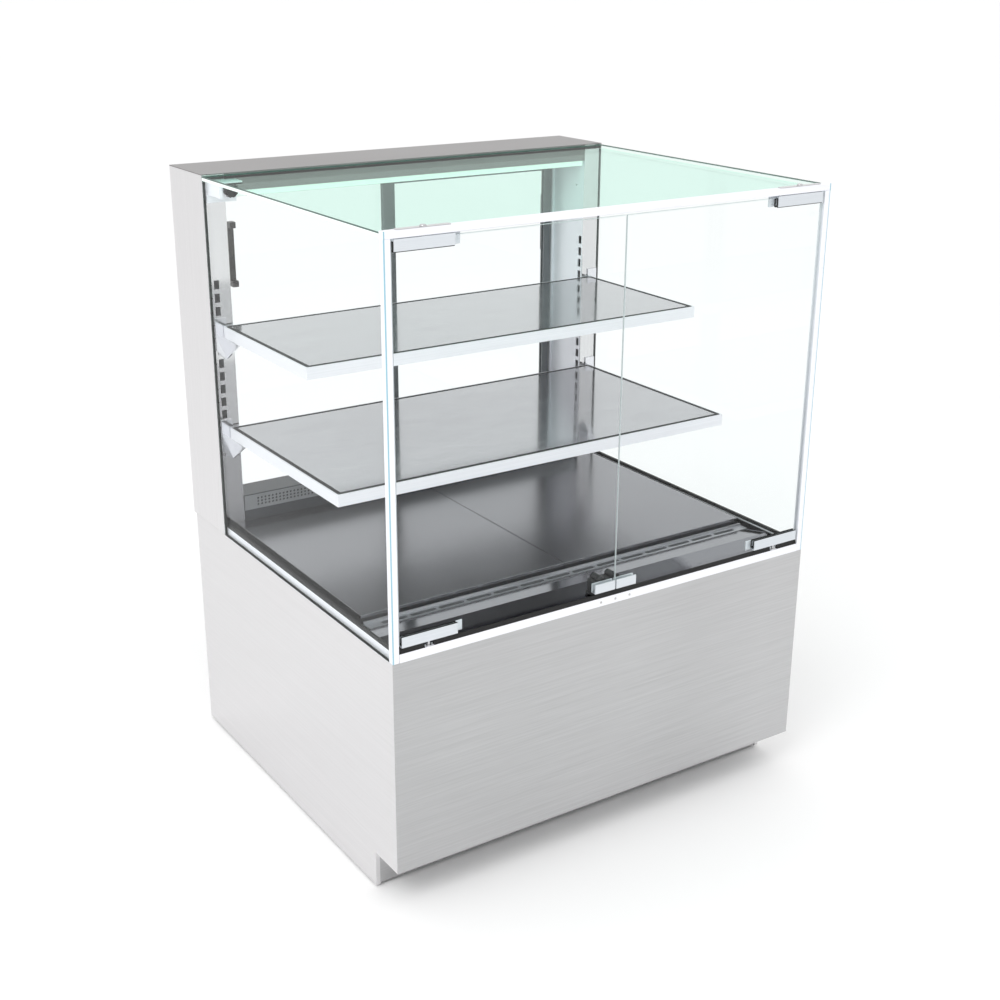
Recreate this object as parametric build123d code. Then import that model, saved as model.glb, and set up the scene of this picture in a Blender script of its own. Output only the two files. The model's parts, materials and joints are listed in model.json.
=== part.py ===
from build123d import *
import os

# Heated food display case: a floor-standing steel base, a glass-walled hot cabinet with two heated
# shelves, a pair of pivoting glass doors at the front and a pair of sliding glass doors at the back.
#
# Millimetres. +X is right and -Y is the customers' side. The origin is on the floor, in the middle of
# the case. Places along the depth are given as a distance behind the front panel, by depth().

# Overall sizes
WIDTH = 914
DEPTH = 834            # front panel to the back of the columns
HEIGHT = 1184          # floor to the top of the canopy
BASE_HEIGHT = 476      # floor to the top edge of the base panels
BASE_DEPTH = 822
TOE_HEIGHT = 73
TOE_RECESS = 79
FLOOR_GAP = 4          # panels end this far above the floor
SHEET = 1.5            # panel thickness
GAP = 0.3              # air between parts of different bodies
HALF = WIDTH / 2
PANEL_RETURN = 8       # folded edges of the base's side panels

# Glass cabinet
GLASS = 6
TOP_GLASS = 8
TOP_GLASS_UNDER = 1173
SILL_DEPTH = 12
SILL_TOP = 491
SIDE_GLASS_OUTER = HALF - 0.5
SIDE_GLASS_INNER = SIDE_GLASS_OUTER - GLASS
POST = 12.5            # width of the front frame's posts
FRAME_DEPTH = 13
FRAME_UNDER = 1171
FRAME_TOP = 1183
COLUMN_WIDTH = 44
COLUMN_FRONT = 678
CANOPY_UNDER = 1150
CLAMP_STUD = (-411, 1156)  # X and height of the stud that the hand knob turns on
CLAMP_KNOB = 14
INNER = HALF - COLUMN_WIDTH

# Front doors
DOOR_GAP = 3           # between the two doors
DOOR_SIDE_GAP = 3      # between a door and the front post
CLIP_THICKNESS = 12    # the clips' size from front to back
CLIP_LENGTH = 107
CLIP_HEIGHT = 19
CLIP_START = 18        # clip's outer end, from the side of the case
PIVOT_X = HALF - CLIP_START - CLIP_LENGTH / 2
PIVOT_Y = CLIP_THICKNESS / 2
LOWER_CLIP_Z = 501
UPPER_CLIP_Z = 1151
PIN_RADIUS = 2.5       # lower pin
UPPER_PIN_RADIUS = 4
PIN_CLEARANCE = 0.05
STRIKE_LENGTH = 44
STRIKE_WALL = 2

# Deck
DECK_TOP = 497
DECK_FRONT = 157
DECK_BACK = 677
DECK_HALF = 431
TRAY_TOP = 480
RAMP_CREST = (80, 489)
GRILLE_FRONT = 126
GRILLE_BACK = 150
GRILLE_TOP = 484.5
GRILLE_HALF = 431
RISER_FRONT = 682
RISER_BACK = 745
RISER_TOP = 549
CAP_TOP = 497
HEATER_RADIUS = 4
HEATER_CENTRE = 216    # middle of each deck pan's heater, from the middle of the case
HEATER_REACH = 170

# Shelves: distance of the front edge behind the front panel, and height of the top face
SHELVES = {"upper": (323, 899), "lower": (222, 698)}
SHELF_BACK = 674
SHELF_HALF = 434
SHELF_HEIGHT = 22
SHELF_WALL = 2.5
SHELF_LEDGE = 12       # ledge that the glass lies on
GLASS_SEAT = 8         # depth of the glass's seat in the frame
BRACKET_DROP = 64      # height of the bracket's gusset

# Column slots
SLOT_COUNT = 14
SLOT_FIRST = 640       # height of the lowest slot's foot
SLOT_PITCH = 25.4
SLOT_WIDTH = 10
SLOT_HEIGHT = 17
SLOT_X = HALF - 16
HOOK_HALF = 4

# Rear doors: each slides in its own groove, and their meeting stiles stand side by side
REAR_DOOR_THICKNESS = 12
REAR_GROOVES = {"right": 789, "left": 806}   # front face of each door, behind the front panel
REAR_DOOR_BOTTOM = 500
REAR_DOOR_TOP = 1138
REAR_PANE = 5
STILE = 18
RAIL = 20
JAMB = 5.5             # strips on the columns that the doors close against
DOOR_END = INNER - JAMB - 2.5
TRACK_HEIGHT = 14
UPPER_TRACK = 1124
PULL = (938, 1067)     # foot and head of the doors' pulls
PULL_X = -HALF + 114

# Canopy and its light
HEADER_BACK_FOOT = 1126
LIGHT_FRONT = 682
LIGHT_BACK = 704
LIGHT_HALF = 408
LENS_UNDER = 1139.5

# Controls, in a pocket of the base's back
POCKET_HALF = 300
POCKET_BOTTOM = 388
POCKET_TOP = 462
POCKET_DEPTH = 24
POCKET_FLOOR = BASE_DEPTH - POCKET_DEPTH + SHEET
KNOB_RADIUS = 19
SPINDLE_RADIUS = 4
KNOBS = {"deck": -200, "lower_shelf": -120, "upper_shelf": -40}
SWITCHES = {"light": 190, "power": 240}
DISPLAY = (60, 130)
BEZEL_HALF = 17
ROCKER_AXIS = POCKET_FLOOR + 3.8
ROCKER_TILT = 9
CONTROL_Z = (POCKET_BOTTOM + POCKET_TOP) / 2

# Back cover
SERVICE_TOP = POCKET_BOTTOM - 14
LOUVRE_FIELDS = (-215, 215)
LOUVRE_WIDTH = 154
LOUVRES = 9
LOUVRE_PITCH = 20
GLAND_THREAD = 12
GLAND_BORE = 5
GLAND_PLACE = (380, BASE_DEPTH, 110)
SCREW_RADIUS = 1.6
BACK_SCREWS = [(x, z) for x in (-430, 0, 430) for z in (20, SERVICE_TOP - 12)]
BACK_SCREWS += [(x, POCKET_TOP + 6) for x in (-430, 430)]
SILL_SCREWS = (-32, 0, 32)
SILL_SCREW_Z = 483.5
SILL_SCREW_RADIUS = 2.2

# Welded frame inside the base
FRAME_SIDE = HALF - PANEL_RETURN - 3
FRAME_FRONT = 90
FRAME_RING_FRONT = 22  # the upper ring reaches over the toe recess
FRAME_BACK = BASE_DEPTH - POCKET_DEPTH - 3
FRAME_FOOT = 30
ANGLE_LEG = 30
ANGLE_WALL = 3
STUD_RADIUS = 5
FEET = [(x, y) for x in (16 - FRAME_SIDE, FRAME_SIDE - 16) for y in (FRAME_FRONT + 20, FRAME_BACK - 20)]

# Blower under the deck tray
BLOWER_CENTRE = (0, 700, 400)
BLOWER_RADIUS = 46
BLADES = 24
SHAFT_RADIUS = 4


# ---------------------------------------------------------------- helpers
def depth(distance):
    """The Y of a place that far behind the front panel."""
    return distance - DEPTH / 2


def block(x, y, z):
    """A box between the two ends given for each axis, with y as distances behind the front panel."""
    y = [depth(end) for end in y]
    size = [high - low for low, high in (x, y, z)]
    centre = [(low + high) / 2 for low, high in (x, y, z)]
    return Pos(*centre) * Box(*size)


def rod(axis, centre, radius, length):
    """A round bar about its centre, along X, Y or Z, with y behind the front panel."""
    turn = {"X": Rot(0, 90, 0), "Y": Rot(90, 0, 0), "Z": Rot(0, 0, 0)}[axis]
    x, y, z = centre
    return Pos(x, depth(y), z) * turn * Cylinder(radius, length)


def outline(points):
    return make_face(Polyline(*points, close=True))


def folded(points, thickness):
    """Outline of a sheet folded along the points, its thickness on the left of their direction."""
    line = [Vector(*point) for point in points]
    runs = [(end - start).normalized() for start, end in zip(line, line[1:])]
    sides = [Vector(-run.Y, run.X) for run in runs]
    corners = [(a + b) * (1 / (1 + a.dot(b))) for a, b in zip(sides, sides[1:])]
    offsets = [sides[0], *corners, sides[-1]]
    other = [point + offset * thickness for point, offset in zip(line, offsets)]
    return outline(line + other[::-1])


def along_x(face, start, end):
    """A face drawn with (distance behind the front panel, height), extruded between two X."""
    return extrude(Plane.YZ.offset(start) * Pos(-DEPTH / 2, 0) * face, amount=end - start)


def along_y(face, start, end):
    """A face drawn with (X, height), extruded between two distances behind the front panel."""
    return extrude(Plane.XZ.offset(-depth(end)) * face, amount=end - start)


def along_z(face, start, end):
    """A face drawn with (X, distance behind the front panel), extruded between two heights."""
    return extrude(Plane.XY.offset(start) * Pos(0, -DEPTH / 2) * face, amount=end - start)


def mirrored(shape):
    return mirror(shape, about=Plane.YZ)


def pair(shape):
    """A piece on the left and its mirror image on the right, as separate solids of one node."""
    return [shape, mirrored(shape)]


def row(count, pitch, centre=0.0):
    """Places evenly spaced about a centre."""
    return [centre + (index - (count - 1) / 2) * pitch for index in range(count)]


def save(name, shape):
    solids = shape if isinstance(shape, list) else [shape]
    solids = [solid for item in solids for solid in item.solids()]
    node = solids[0] if len(solids) == 1 else Compound(children=solids)
    node.label = name
    export_step(node, f"parts/{name}.step")


# ---------------------------------------------------------------- base
def side_panel():
    """Left base panel: a pan with returned edges and a toe notch at the front."""
    def edge(inset):
        toe = (TOE_RECESS + inset, TOE_HEIGHT + inset)
        return outline([
            (SHEET + inset, toe[1]), (SHEET + inset, BASE_HEIGHT - inset),
            (BASE_DEPTH - inset, BASE_HEIGHT - inset), (BASE_DEPTH - inset, FLOOR_GAP + inset),
            (toe[0], FLOOR_GAP + inset), toe,
        ])
    shell = along_x(edge(0), -HALF, -HALF + PANEL_RETURN)
    return shell - along_x(edge(SHEET), -HALF + SHEET, -HALF + PANEL_RETURN)


def front_panel():
    """Flat skin the full width of the case, folded back at its head and foot."""
    face = folded([(18, BASE_HEIGHT), (0, BASE_HEIGHT), (0, TOE_HEIGHT), (18, TOE_HEIGHT)], SHEET)
    inner = HALF - PANEL_RETURN - GAP
    skin = block((-HALF, HALF), (0, SHEET), (TOE_HEIGHT, BASE_HEIGHT))
    return skin + along_x(face, -inner, inner)


def kick_plate():
    """Recessed toe plate with the shelf that closes the recess from above."""
    start = TOE_RECESS + SHEET + GAP
    top = TOE_HEIGHT + 2 * SHEET + GAP
    face = folded([(2 * SHEET + GAP, top), (start, top), (start, FLOOR_GAP + 2)], SHEET)
    inner = HALF - PANEL_RETURN - GAP
    return along_x(face, -inner, inner)


def angle_bar(span, axis, y, z, toward):
    """An angle bar along X, Y or Z, with its corner at a place and its legs leading away from it."""
    first, second = toward

    def between(start, reach, direction):
        return (start, start + reach) if direction > 0 else (start - reach, start)

    flat = [between(y, ANGLE_LEG, first), between(z, ANGLE_WALL, second)]
    upright = [between(y, ANGLE_WALL, first), between(z, ANGLE_LEG, second)]
    for legs in (flat, upright):
        legs.insert("XYZ".index(axis), span)
    return block(*flat) + block(*upright)


def base_frame():
    """Welded angle frame: a ring at the foot, a longer ring at the top and four posts."""
    x, top = FRAME_SIDE, BASE_HEIGHT - 4
    bars = [
        angle_bar((-x, x), "X", FRAME_FRONT, FRAME_FOOT, (1, 1)),
        angle_bar((-x, x), "X", FRAME_BACK, FRAME_FOOT, (-1, 1)),
        angle_bar((-x, x), "X", FRAME_RING_FRONT, top, (1, -1)),
        angle_bar((-x, x), "X", FRAME_BACK, top, (-1, -1)),
    ]
    for side in (-1, 1):
        bars.append(angle_bar((FRAME_FRONT, FRAME_BACK), "Y", side * x, FRAME_FOOT, (-side, 1)))
        bars.append(angle_bar((FRAME_RING_FRONT, FRAME_BACK), "Y", side * x, top, (-side, -1)))
        for y, inward in ((FRAME_FRONT, 1), (FRAME_BACK, -1)):
            bars.append(angle_bar((FRAME_FOOT, top), "Z", side * x, y, (-side, inward)))
    frame = bars[0].fuse(*bars[1:])
    for x, y in FEET:
        frame -= rod("Z", (x, y, FRAME_FOOT), STUD_RADIUS + 0.2, 20)
    return frame


def levelling_feet():
    """A round pad on a stud, with a lock nut under the frame."""
    pad = Pos(0, 0, 4) * Cylinder(17, 8)
    pad = chamfer(pad.edges().group_by(Axis.Z)[-1], 2)
    nut = Pos(0, 0, FRAME_FOOT - 8.5) * extrude(RegularPolygon(9, 6), amount=8)
    foot = pad + Pos(0, 0, 29) * Cylinder(STUD_RADIUS, 44) + nut
    return [Pos(x, depth(y), 0) * foot for x, y in FEET]


def base_floor_pan():
    """Open-topped sheet pan that keeps the wiring off the floor."""
    x, wall = FRAME_SIDE - 4, 1.2
    y = (FRAME_FRONT + 4, FRAME_BACK - 4)
    z = FRAME_FOOT + 45
    pan = block((-x, x), y, (z, z + 18))
    return pan - block((-x + wall, x - wall), (y[0] + wall, y[1] - wall), (z + wall, z + 18))


def louvre(width, z):
    """A pressed hood: a slanted strip that stands proud of the panel over its slot."""
    face = folded([(BASE_DEPTH - SHEET, z + 9), (BASE_DEPTH + 5, z)], 1.2)
    return along_x(face, -width / 2, width / 2)


def drilled(cover):
    """A back cover with the holes for its screws."""
    for x, z in BACK_SCREWS:
        cover -= rod("Y", (x, BASE_DEPTH, z), SCREW_RADIUS + 0.2, 12)
    return cover


def rear_service_panel():
    """Removable back cover with two fields of louvres and the hole for the cable gland."""
    x = HALF - PANEL_RETURN - GAP
    panel = block((-x, x), (BASE_DEPTH - SHEET, BASE_DEPTH), (FLOOR_GAP + 4, SERVICE_TOP))
    slot = LOUVRE_WIDTH / 2 - 2
    for centre in LOUVRE_FIELDS:
        for z in row(LOUVRES, LOUVRE_PITCH, 250):
            place = Pos(centre, 0, 0)
            panel -= place * block((-slot, slot), (BASE_DEPTH - 5, BASE_DEPTH + 5), (z, z + 7))
            panel += place * louvre(LOUVRE_WIDTH, z)
    return drilled(panel - rod("Y", GLAND_PLACE, GLAND_THREAD, 30))


def control_panel():
    """Upper back cover with the pocket that keeps the controls inside the case's outline."""
    x = HALF - PANEL_RETURN - GAP
    z = (SERVICE_TOP + 1, BASE_HEIGHT - 1)
    cover = block((-x, x), (BASE_DEPTH - SHEET, BASE_DEPTH), z)
    cover += block((-POCKET_HALF - SHEET, POCKET_HALF + SHEET), (BASE_DEPTH - POCKET_DEPTH, BASE_DEPTH),
                   (POCKET_BOTTOM - SHEET, POCKET_TOP + SHEET))
    cover -= block((-POCKET_HALF, POCKET_HALF), (POCKET_FLOOR, BASE_DEPTH + 1), (POCKET_BOTTOM, POCKET_TOP))
    for place in KNOBS.values():
        cover -= rod("Y", (place, BASE_DEPTH - POCKET_DEPTH, CONTROL_Z), SPINDLE_RADIUS + 1, 10)
    return drilled(cover)


def control_knob(place):
    """A thermostat knob with a gripping bar, on its spindle."""
    body = Pos(0, 0, 8) * Cylinder(KNOB_RADIUS, 6)
    body += Pos(0, 0, 5.5) * Cone(KNOB_RADIUS + 2, KNOB_RADIUS, 5)
    grip = Pos(0, 0, 15) * Box(9, 2 * KNOB_RADIUS - 4, 10)
    grip = fillet(grip.edges().filter_by(Axis.Z), 3)
    spindle = Pos(0, 0, -6) * Cylinder(SPINDLE_RADIUS, 20)
    knob = body + grip + spindle
    return Pos(place, depth(POCKET_FLOOR), CONTROL_Z) * Rot(-90, 0, 0) * knob


def switch_bezels():
    """Black frames that the two rockers tilt in, joined to the pocket's floor."""
    frames = []
    for place in SWITCHES.values():
        frame = block((place - 12, place + 12), (POCKET_FLOOR, POCKET_FLOOR + 4),
                      (CONTROL_Z - BEZEL_HALF, CONTROL_Z + BEZEL_HALF))
        frame -= block((place - 9, place + 9), (POCKET_FLOOR + 1, POCKET_FLOOR + 5),
                       (CONTROL_Z - 14, CONTROL_Z + 14))
        frames.append(frame)
    return frames


def rocker(place):
    """A rocker at its off position, tilted about its axis, with a shallow V for its two faces."""
    face = outline([(-12.5, 0), (12.5, 0), (12.5, 4.6), (0, 3.2), (-12.5, 4.6)])
    body = extrude(Plane.YZ * face, amount=8.4, both=True)
    upright = Pos(place, depth(ROCKER_AXIS), CONTROL_Z) * Rot(ROCKER_TILT, 0, 0) * Rot(-90, 0, 0)
    return upright * body


def temperature_display():
    """Low housing with a recessed window."""
    left, right = DISPLAY
    case = block(DISPLAY, (POCKET_FLOOR, POCKET_FLOOR + 5), (CONTROL_Z - BEZEL_HALF, CONTROL_Z + BEZEL_HALF))
    case = fillet(case.edges().filter_by(Axis.Y), 3)
    return case - block((left + 8, right - 8), (POCKET_FLOOR + 4, POCKET_FLOOR + 6),
                        (CONTROL_Z - 10, CONTROL_Z + 10))


def cable_gland():
    """Strain-relief gland in the back cover, with a through bore for the supply cord."""
    x, y, z = GLAND_PLACE
    collar = Pos(0, 0, -4.8) * extrude(RegularPolygon(17, 6), amount=3)
    body = Pos(0, 0, -8) * Cylinder(GLAND_THREAD - 0.2, 16)
    nut = extrude(RegularPolygon(17, 6), amount=5)
    dome = Pos(0, 0, 8) * Cone(13, 8, 6)
    gland = collar + body + nut + dome - Cylinder(GLAND_BORE, 60)
    return Pos(x, depth(y) + 0.05, z) * Rot(-90, 0, 0) * gland


def cover_screws():
    """Pan-head screws of the back covers and of the sill."""
    head = Cylinder(4, 2) + Pos(0, 0, -3) * Cylinder(SCREW_RADIUS, 5)
    head = chamfer(head.edges().group_by(Axis.Z)[-1], 0.8) - Pos(0, 0, 1) * Box(5, 0.9, 1.2)
    screws = [Pos(x, depth(BASE_DEPTH) + 1, z) * Rot(-90, 0, 0) * head for x, z in BACK_SCREWS]
    small = Cylinder(SILL_SCREW_RADIUS, 1)
    screws += [Pos(x, depth(0) + 0.52, SILL_SCREW_Z) * Rot(90, 0, 0) * small for x in SILL_SCREWS]
    return screws


# ---------------------------------------------------------------- rim, tray and deck
def glazing_sills():
    """The front sill, and the two side bars that back the side glass."""
    face = outline([(0, BASE_HEIGHT), (SILL_DEPTH, BASE_HEIGHT), (SILL_DEPTH, SILL_TOP),
                    (1.2, SILL_TOP), (0, SILL_TOP - 1.2)])
    end = HALF - POST - 0.2
    front = along_x(face, -end, end)
    for side in (-1, 1):
        front -= rod("Z", (side * PIVOT_X, PIVOT_Y, SILL_TOP), PIN_RADIUS, 24)
    for x in SILL_SCREWS:
        front -= rod("Y", (x, 0, SILL_SCREW_Z), SILL_SCREW_RADIUS + 0.2, 2.4)
    return [front] + pair(beside_glass(6, (BASE_HEIGHT, SILL_TOP)))


def beside_glass(thickness, z):
    """A bar along the inner face of the left side pane."""
    x = 0.2 - SIDE_GLASS_INNER
    return block((x, x + thickness - 0.2), (FRAME_DEPTH + GAP, COLUMN_FRONT - GAP), z)


def glass_gaskets():
    """Black strips on the side bars, against the foot of the side glass."""
    return pair(beside_glass(5, (SILL_TOP, DECK_TOP)))


def deck_tray():
    """Sheet tray that carries the deck panels, turned up along the sides."""
    x, low, high = SIDE_GLASS_INNER - 7, TRAY_TOP - SHEET, SILL_TOP - 2
    face = folded([(-x, high), (-x, low), (x, low), (x, high)], SHEET)
    tray = along_y(face, SILL_DEPTH + 1, COLUMN_FRONT - 1)
    return tray + block((1 - INNER, INNER - 1), (COLUMN_FRONT - 2, RISER_BACK + 1), (low, TRAY_TOP))


def front_ramp():
    """Polished sheet that rises from the sill to a crease and falls to the air grille."""
    face = folded([(SILL_DEPTH + 1.5, TRAY_TOP + GAP), (SILL_DEPTH + 1.5, 483), RAMP_CREST,
                   (GRILLE_FRONT - 1, GRILLE_TOP - 0.5), (GRILLE_FRONT - 1, TRAY_TOP + GAP)], -1.2)
    return along_x(face, -GRILLE_HALF - 8, GRILLE_HALF + 8)


def front_air_grille():
    """Bar with a line of long slots that the warm air leaves by, and a raised rear rib."""
    foot, rib = TRAY_TOP + GAP, GRILLE_TOP + 3.5
    face = outline([(GRILLE_FRONT, foot), (GRILLE_BACK, foot), (GRILLE_BACK, rib), (GRILLE_BACK - 3, rib),
                    (GRILLE_BACK - 4, GRILLE_TOP), (GRILLE_FRONT, GRILLE_TOP)])
    bar = along_x(face, -GRILLE_HALF, GRILLE_HALF)
    middle = (GRILLE_FRONT + GRILLE_BACK) / 2 - 2
    slot = Pos(0, depth(middle), TRAY_TOP) * extrude(SlotOverall(52, 9), amount=10)
    for x in row(14, 58):
        bar -= Pos(x, 0, 0) * slot
    return bar


def deck_panels():
    """Two heated pans with turned-down edges that meet in the middle."""
    x, wall, seam = (-DECK_HALF, -0.6), 2, 0.6
    foot = TRAY_TOP + GAP
    pan = block(x, (DECK_FRONT, DECK_BACK), (foot, DECK_TOP))
    pan -= block((x[0] + wall, -seam - wall), (DECK_FRONT + wall, DECK_BACK - wall), (foot, DECK_TOP - wall))
    upper = pan.edges().group_by(Axis.Z)[-1]
    return pair(fillet(upper, 1))


def deck_heaters():
    """Serpentine tube heaters clamped under the deck panels."""
    pitch, z = 60, DECK_TOP - 7
    rows = row(8, pitch, (DECK_FRONT + DECK_BACK) / 2)
    tubes = [rod("X", (-HEATER_CENTRE, y, z), HEATER_RADIUS, 2 * HEATER_REACH) for y in rows]
    for index, y in enumerate(rows[1:]):
        end = HEATER_REACH * (-1) ** index - HEATER_CENTRE
        tubes.append(rod("Y", (end, y - pitch / 2, z), HEATER_RADIUS, pitch))
    bends = [Pos(side * HEATER_REACH - HEATER_CENTRE, depth(y), z) * Sphere(HEATER_RADIUS)
             for y in rows for side in (-1, 1)]
    return pair(tubes[0].fuse(*tubes[1:], *bends))


def insulation_slab():
    return block((-405, 405), (60, 640), (TRAY_TOP - 32, TRAY_TOP - SHEET - 0.5))


def rear_riser():
    """Folded sheet behind the deck: the raised air inlet, then the cap that carries the door track."""
    end = BASE_DEPTH - 1
    face = folded([(RISER_FRONT, TRAY_TOP + GAP), (RISER_FRONT, RISER_TOP), (RISER_BACK, RISER_TOP),
                   (RISER_BACK, CAP_TOP), (end, CAP_TOP), (end, BASE_HEIGHT + 0.2)], -SHEET)
    riser = along_x(face, 1 - INNER, INNER - 1)
    return riser - block((-390, 390), (RISER_FRONT - 1, RISER_FRONT + 3), (521, 543))


def riser_grille():
    """Perforated strip over the riser's opening."""
    z = (517, 547)
    plate = block((-INNER + 4, INNER - 4), (RISER_FRONT - 1.2, RISER_FRONT), z)
    holes = Sketch() + [Pos(x, (z[0] + z[1]) / 2 + level) * Circle(2.2)
                        for level in (-6.5, 0, 6.5) for x in row(96, 8)]
    return plate - along_y(holes, RISER_FRONT - 3, RISER_FRONT + 1)


# ---------------------------------------------------------------- air circulation
def blower_housing():
    """Square scroll casing with a round inlet on its left, an outlet duct up to the tray, and a motor."""
    x, y, z = BLOWER_CENTRE
    casing = block((x - 35, x + 35), (y - 58, y + 58), (z - 58, z + 58))
    casing += block((x - 30, x + 30), (y - 10, y + 40), (z + 50, z + 74))
    casing -= rod("X", BLOWER_CENTRE, BLOWER_RADIUS + 6, 66)
    casing -= block((x - 26, x + 26), (y - 6, y + 36), (z + 30, z + 80))
    casing -= rod("X", (x - 40, y, z), 32, 20)
    casing -= rod("X", (x + 34, y, z), SHAFT_RADIUS + 0.5, 10)
    return casing


def blower_motor():
    x, y, z = BLOWER_CENTRE
    can = rod("X", (x + 66, y, z), 30, 60)
    can = fillet(can.edges().filter_by(GeomType.CIRCLE), 3)
    return can - rod("X", (x + 40, y, z), SHAFT_RADIUS + 0.05, 30)


def blower_rotor():
    """Squirrel-cage wheel: a back plate, a front ring and a cage of blades on a shaft."""
    x, y, z = BLOWER_CENTRE
    back = rod("X", (x + 24, y, z), BLOWER_RADIUS, 2)
    ring = rod("X", (x - 22, y, z), BLOWER_RADIUS, 2) - rod("X", (x - 22, y, z), BLOWER_RADIUS - 9, 4)
    shaft = rod("X", (x + 32, y, z), SHAFT_RADIUS, 34) + rod("X", (x + 20, y, z), 9, 10)
    blade = Pos(x + 1, 0, BLOWER_RADIUS - 5) * Box(46, 1.4, 7)
    centre = Pos(0, depth(y), z)
    blades = [centre * Rot(360 / BLADES * index, 0, 0) * blade for index in range(BLADES)]
    return back.fuse(ring, shaft, *blades)


# ---------------------------------------------------------------- columns and canopy
def slot_heights():
    return [SLOT_FIRST + index * SLOT_PITCH for index in range(SLOT_COUNT)]


def hook_slots(top):
    """Feet of the two slots nearest below a shelf's top, which take its bracket's hooks."""
    return [z for z in slot_heights() if z <= top - 12][-2:]


def column_cover(heights):
    """Left upright's casing: outer side, front and back, open towards the liner. Its front has slots
    for the shelf hooks at the heights given, and a small hole beside each."""
    face = folded([(-INNER, DEPTH), (-HALF, DEPTH), (-HALF, COLUMN_FRONT), (-INNER, COLUMN_FRONT)], SHEET)
    cover = along_z(face, BASE_HEIGHT + 0.2, HEIGHT - SHEET - 0.2)
    for z in heights:
        cover -= block((-SLOT_X - SLOT_WIDTH / 2, -SLOT_X + SLOT_WIDTH / 2),
                       (COLUMN_FRONT - 3, COLUMN_FRONT + 4), (z, z + SLOT_HEIGHT))
        cover -= rod("Y", (-HALF + 5, COLUMN_FRONT, z + SLOT_HEIGHT / 2), 1.8, 10)
    return cover


def column_liner():
    """Inner face of the left upright, with a thicker slotted standard along its front edge and a strip
    that the rear door closes against."""
    x, front = -INNER, COLUMN_FRONT + SHEET + 0.1
    through = (x - 3, x + 3)
    liner = block((x - SHEET, x), (front, DEPTH - SHEET - 0.1), (BASE_HEIGHT + 0.2, HEIGHT - SHEET - 0.2))
    liner += block((x, x + 1), (front, front + 60), (TRAY_TOP + 20, 945))
    liner += block((x, x + JAMB), (REAR_GROOVES["right"] - 2, BASE_DEPTH - 1),
                   (CAP_TOP + TRACK_HEIGHT + 0.2, UPPER_TRACK - 0.2))
    for z in slot_heights():
        liner -= block(through, (front + 4, front + 4 + SLOT_WIDTH), (z, z + SLOT_HEIGHT))
    liner -= block(through, (722, 738), (1131, 1135))
    return liner - rod("X", (x, 705, 1095), 2, 10)


def header_cover():
    """Canopy across the columns: top, front and back faces folded from one sheet."""
    face = folded([(LIGHT_BACK, CANOPY_UNDER), (COLUMN_FRONT, CANOPY_UNDER), (COLUMN_FRONT, HEIGHT),
                   (DEPTH, HEIGHT), (DEPTH, HEADER_BACK_FOOT), (DEPTH - 12, HEADER_BACK_FOOT)], -SHEET)
    top = block((-HALF, HALF), (COLUMN_FRONT, DEPTH), (HEIGHT - SHEET, HEIGHT))
    return top + along_x(face, GAP - INNER, INNER - GAP)


def light_housing():
    return block((-LIGHT_HALF, LIGHT_HALF), (LIGHT_FRONT, LIGHT_BACK), (LENS_UNDER + 2.5, CANOPY_UNDER - 0.2))


def light_lens():
    """Opal cover along the front and the underside of the light."""
    front = LIGHT_FRONT - 3
    face = folded([(front, CANOPY_UNDER - 0.4), (front, LENS_UNDER), (LIGHT_BACK, LENS_UNDER)], 2)
    return along_x(face, -LIGHT_HALF, LIGHT_HALF)


def door_track(low, high, floor):
    """Extrusion with two grooves. Its floor, low or high, is at its foot or at its top."""
    front = REAR_GROOVES["right"]
    groove = REAR_DOOR_THICKNESS + 2.4
    wall = REAR_GROOVES["left"] - front - groove
    start = front - 1.2 - wall
    track = block((1 - INNER, INNER - 1), (start, start + 2 * groove + 3 * wall), (low, high))
    for index in range(2):
        y = start + wall + index * (groove + wall)
        opening = (low + 2, high + 1) if floor == "low" else (low - 1, high - 2)
        track -= block((-INNER, INNER), (y, y + groove), opening)
    return track


# ---------------------------------------------------------------- fixed glass
def side_glass():
    """Left pane, between the front post and the column."""
    return block((-SIDE_GLASS_OUTER, -SIDE_GLASS_INNER), (FRAME_DEPTH + 0.2, COLUMN_FRONT - 0.5),
                 (BASE_HEIGHT + 0.3, TOP_GLASS_UNDER - 0.3))


def top_glass():
    """Pane that lies on the side glass and the front frame."""
    return block((-SIDE_GLASS_OUTER, SIDE_GLASS_OUTER), (3, COLUMN_FRONT - 0.5),
                 (TOP_GLASS_UNDER, TOP_GLASS_UNDER + TOP_GLASS))


def front_frame():
    """Slim frame round the doors: a channel on the top glass's front edge, and a post at each end."""
    bar = block((-HALF, HALF), (0, FRAME_DEPTH), (FRAME_UNDER, FRAME_TOP))
    bar = chamfer(bar.edges().filter_by(Axis.X), 0.8)
    bar -= block((-SIDE_GLASS_OUTER - 0.2, SIDE_GLASS_OUTER + 0.2), (2.8, FRAME_DEPTH + 1),
                 (TOP_GLASS_UNDER - 0.2, TOP_GLASS_UNDER + TOP_GLASS + 0.2))
    for side in (-1, 1):
        bar -= rod("Z", (side * PIVOT_X, PIVOT_Y, FRAME_UNDER), UPPER_PIN_RADIUS + 0.1, 4)
    post = block((-HALF, -HALF + POST), (0, FRAME_DEPTH), (BASE_HEIGHT + 0.2, FRAME_UNDER))
    post = chamfer(post.edges().filter_by(Axis.Z), 0.8)
    return [bar] + pair(post)


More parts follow.
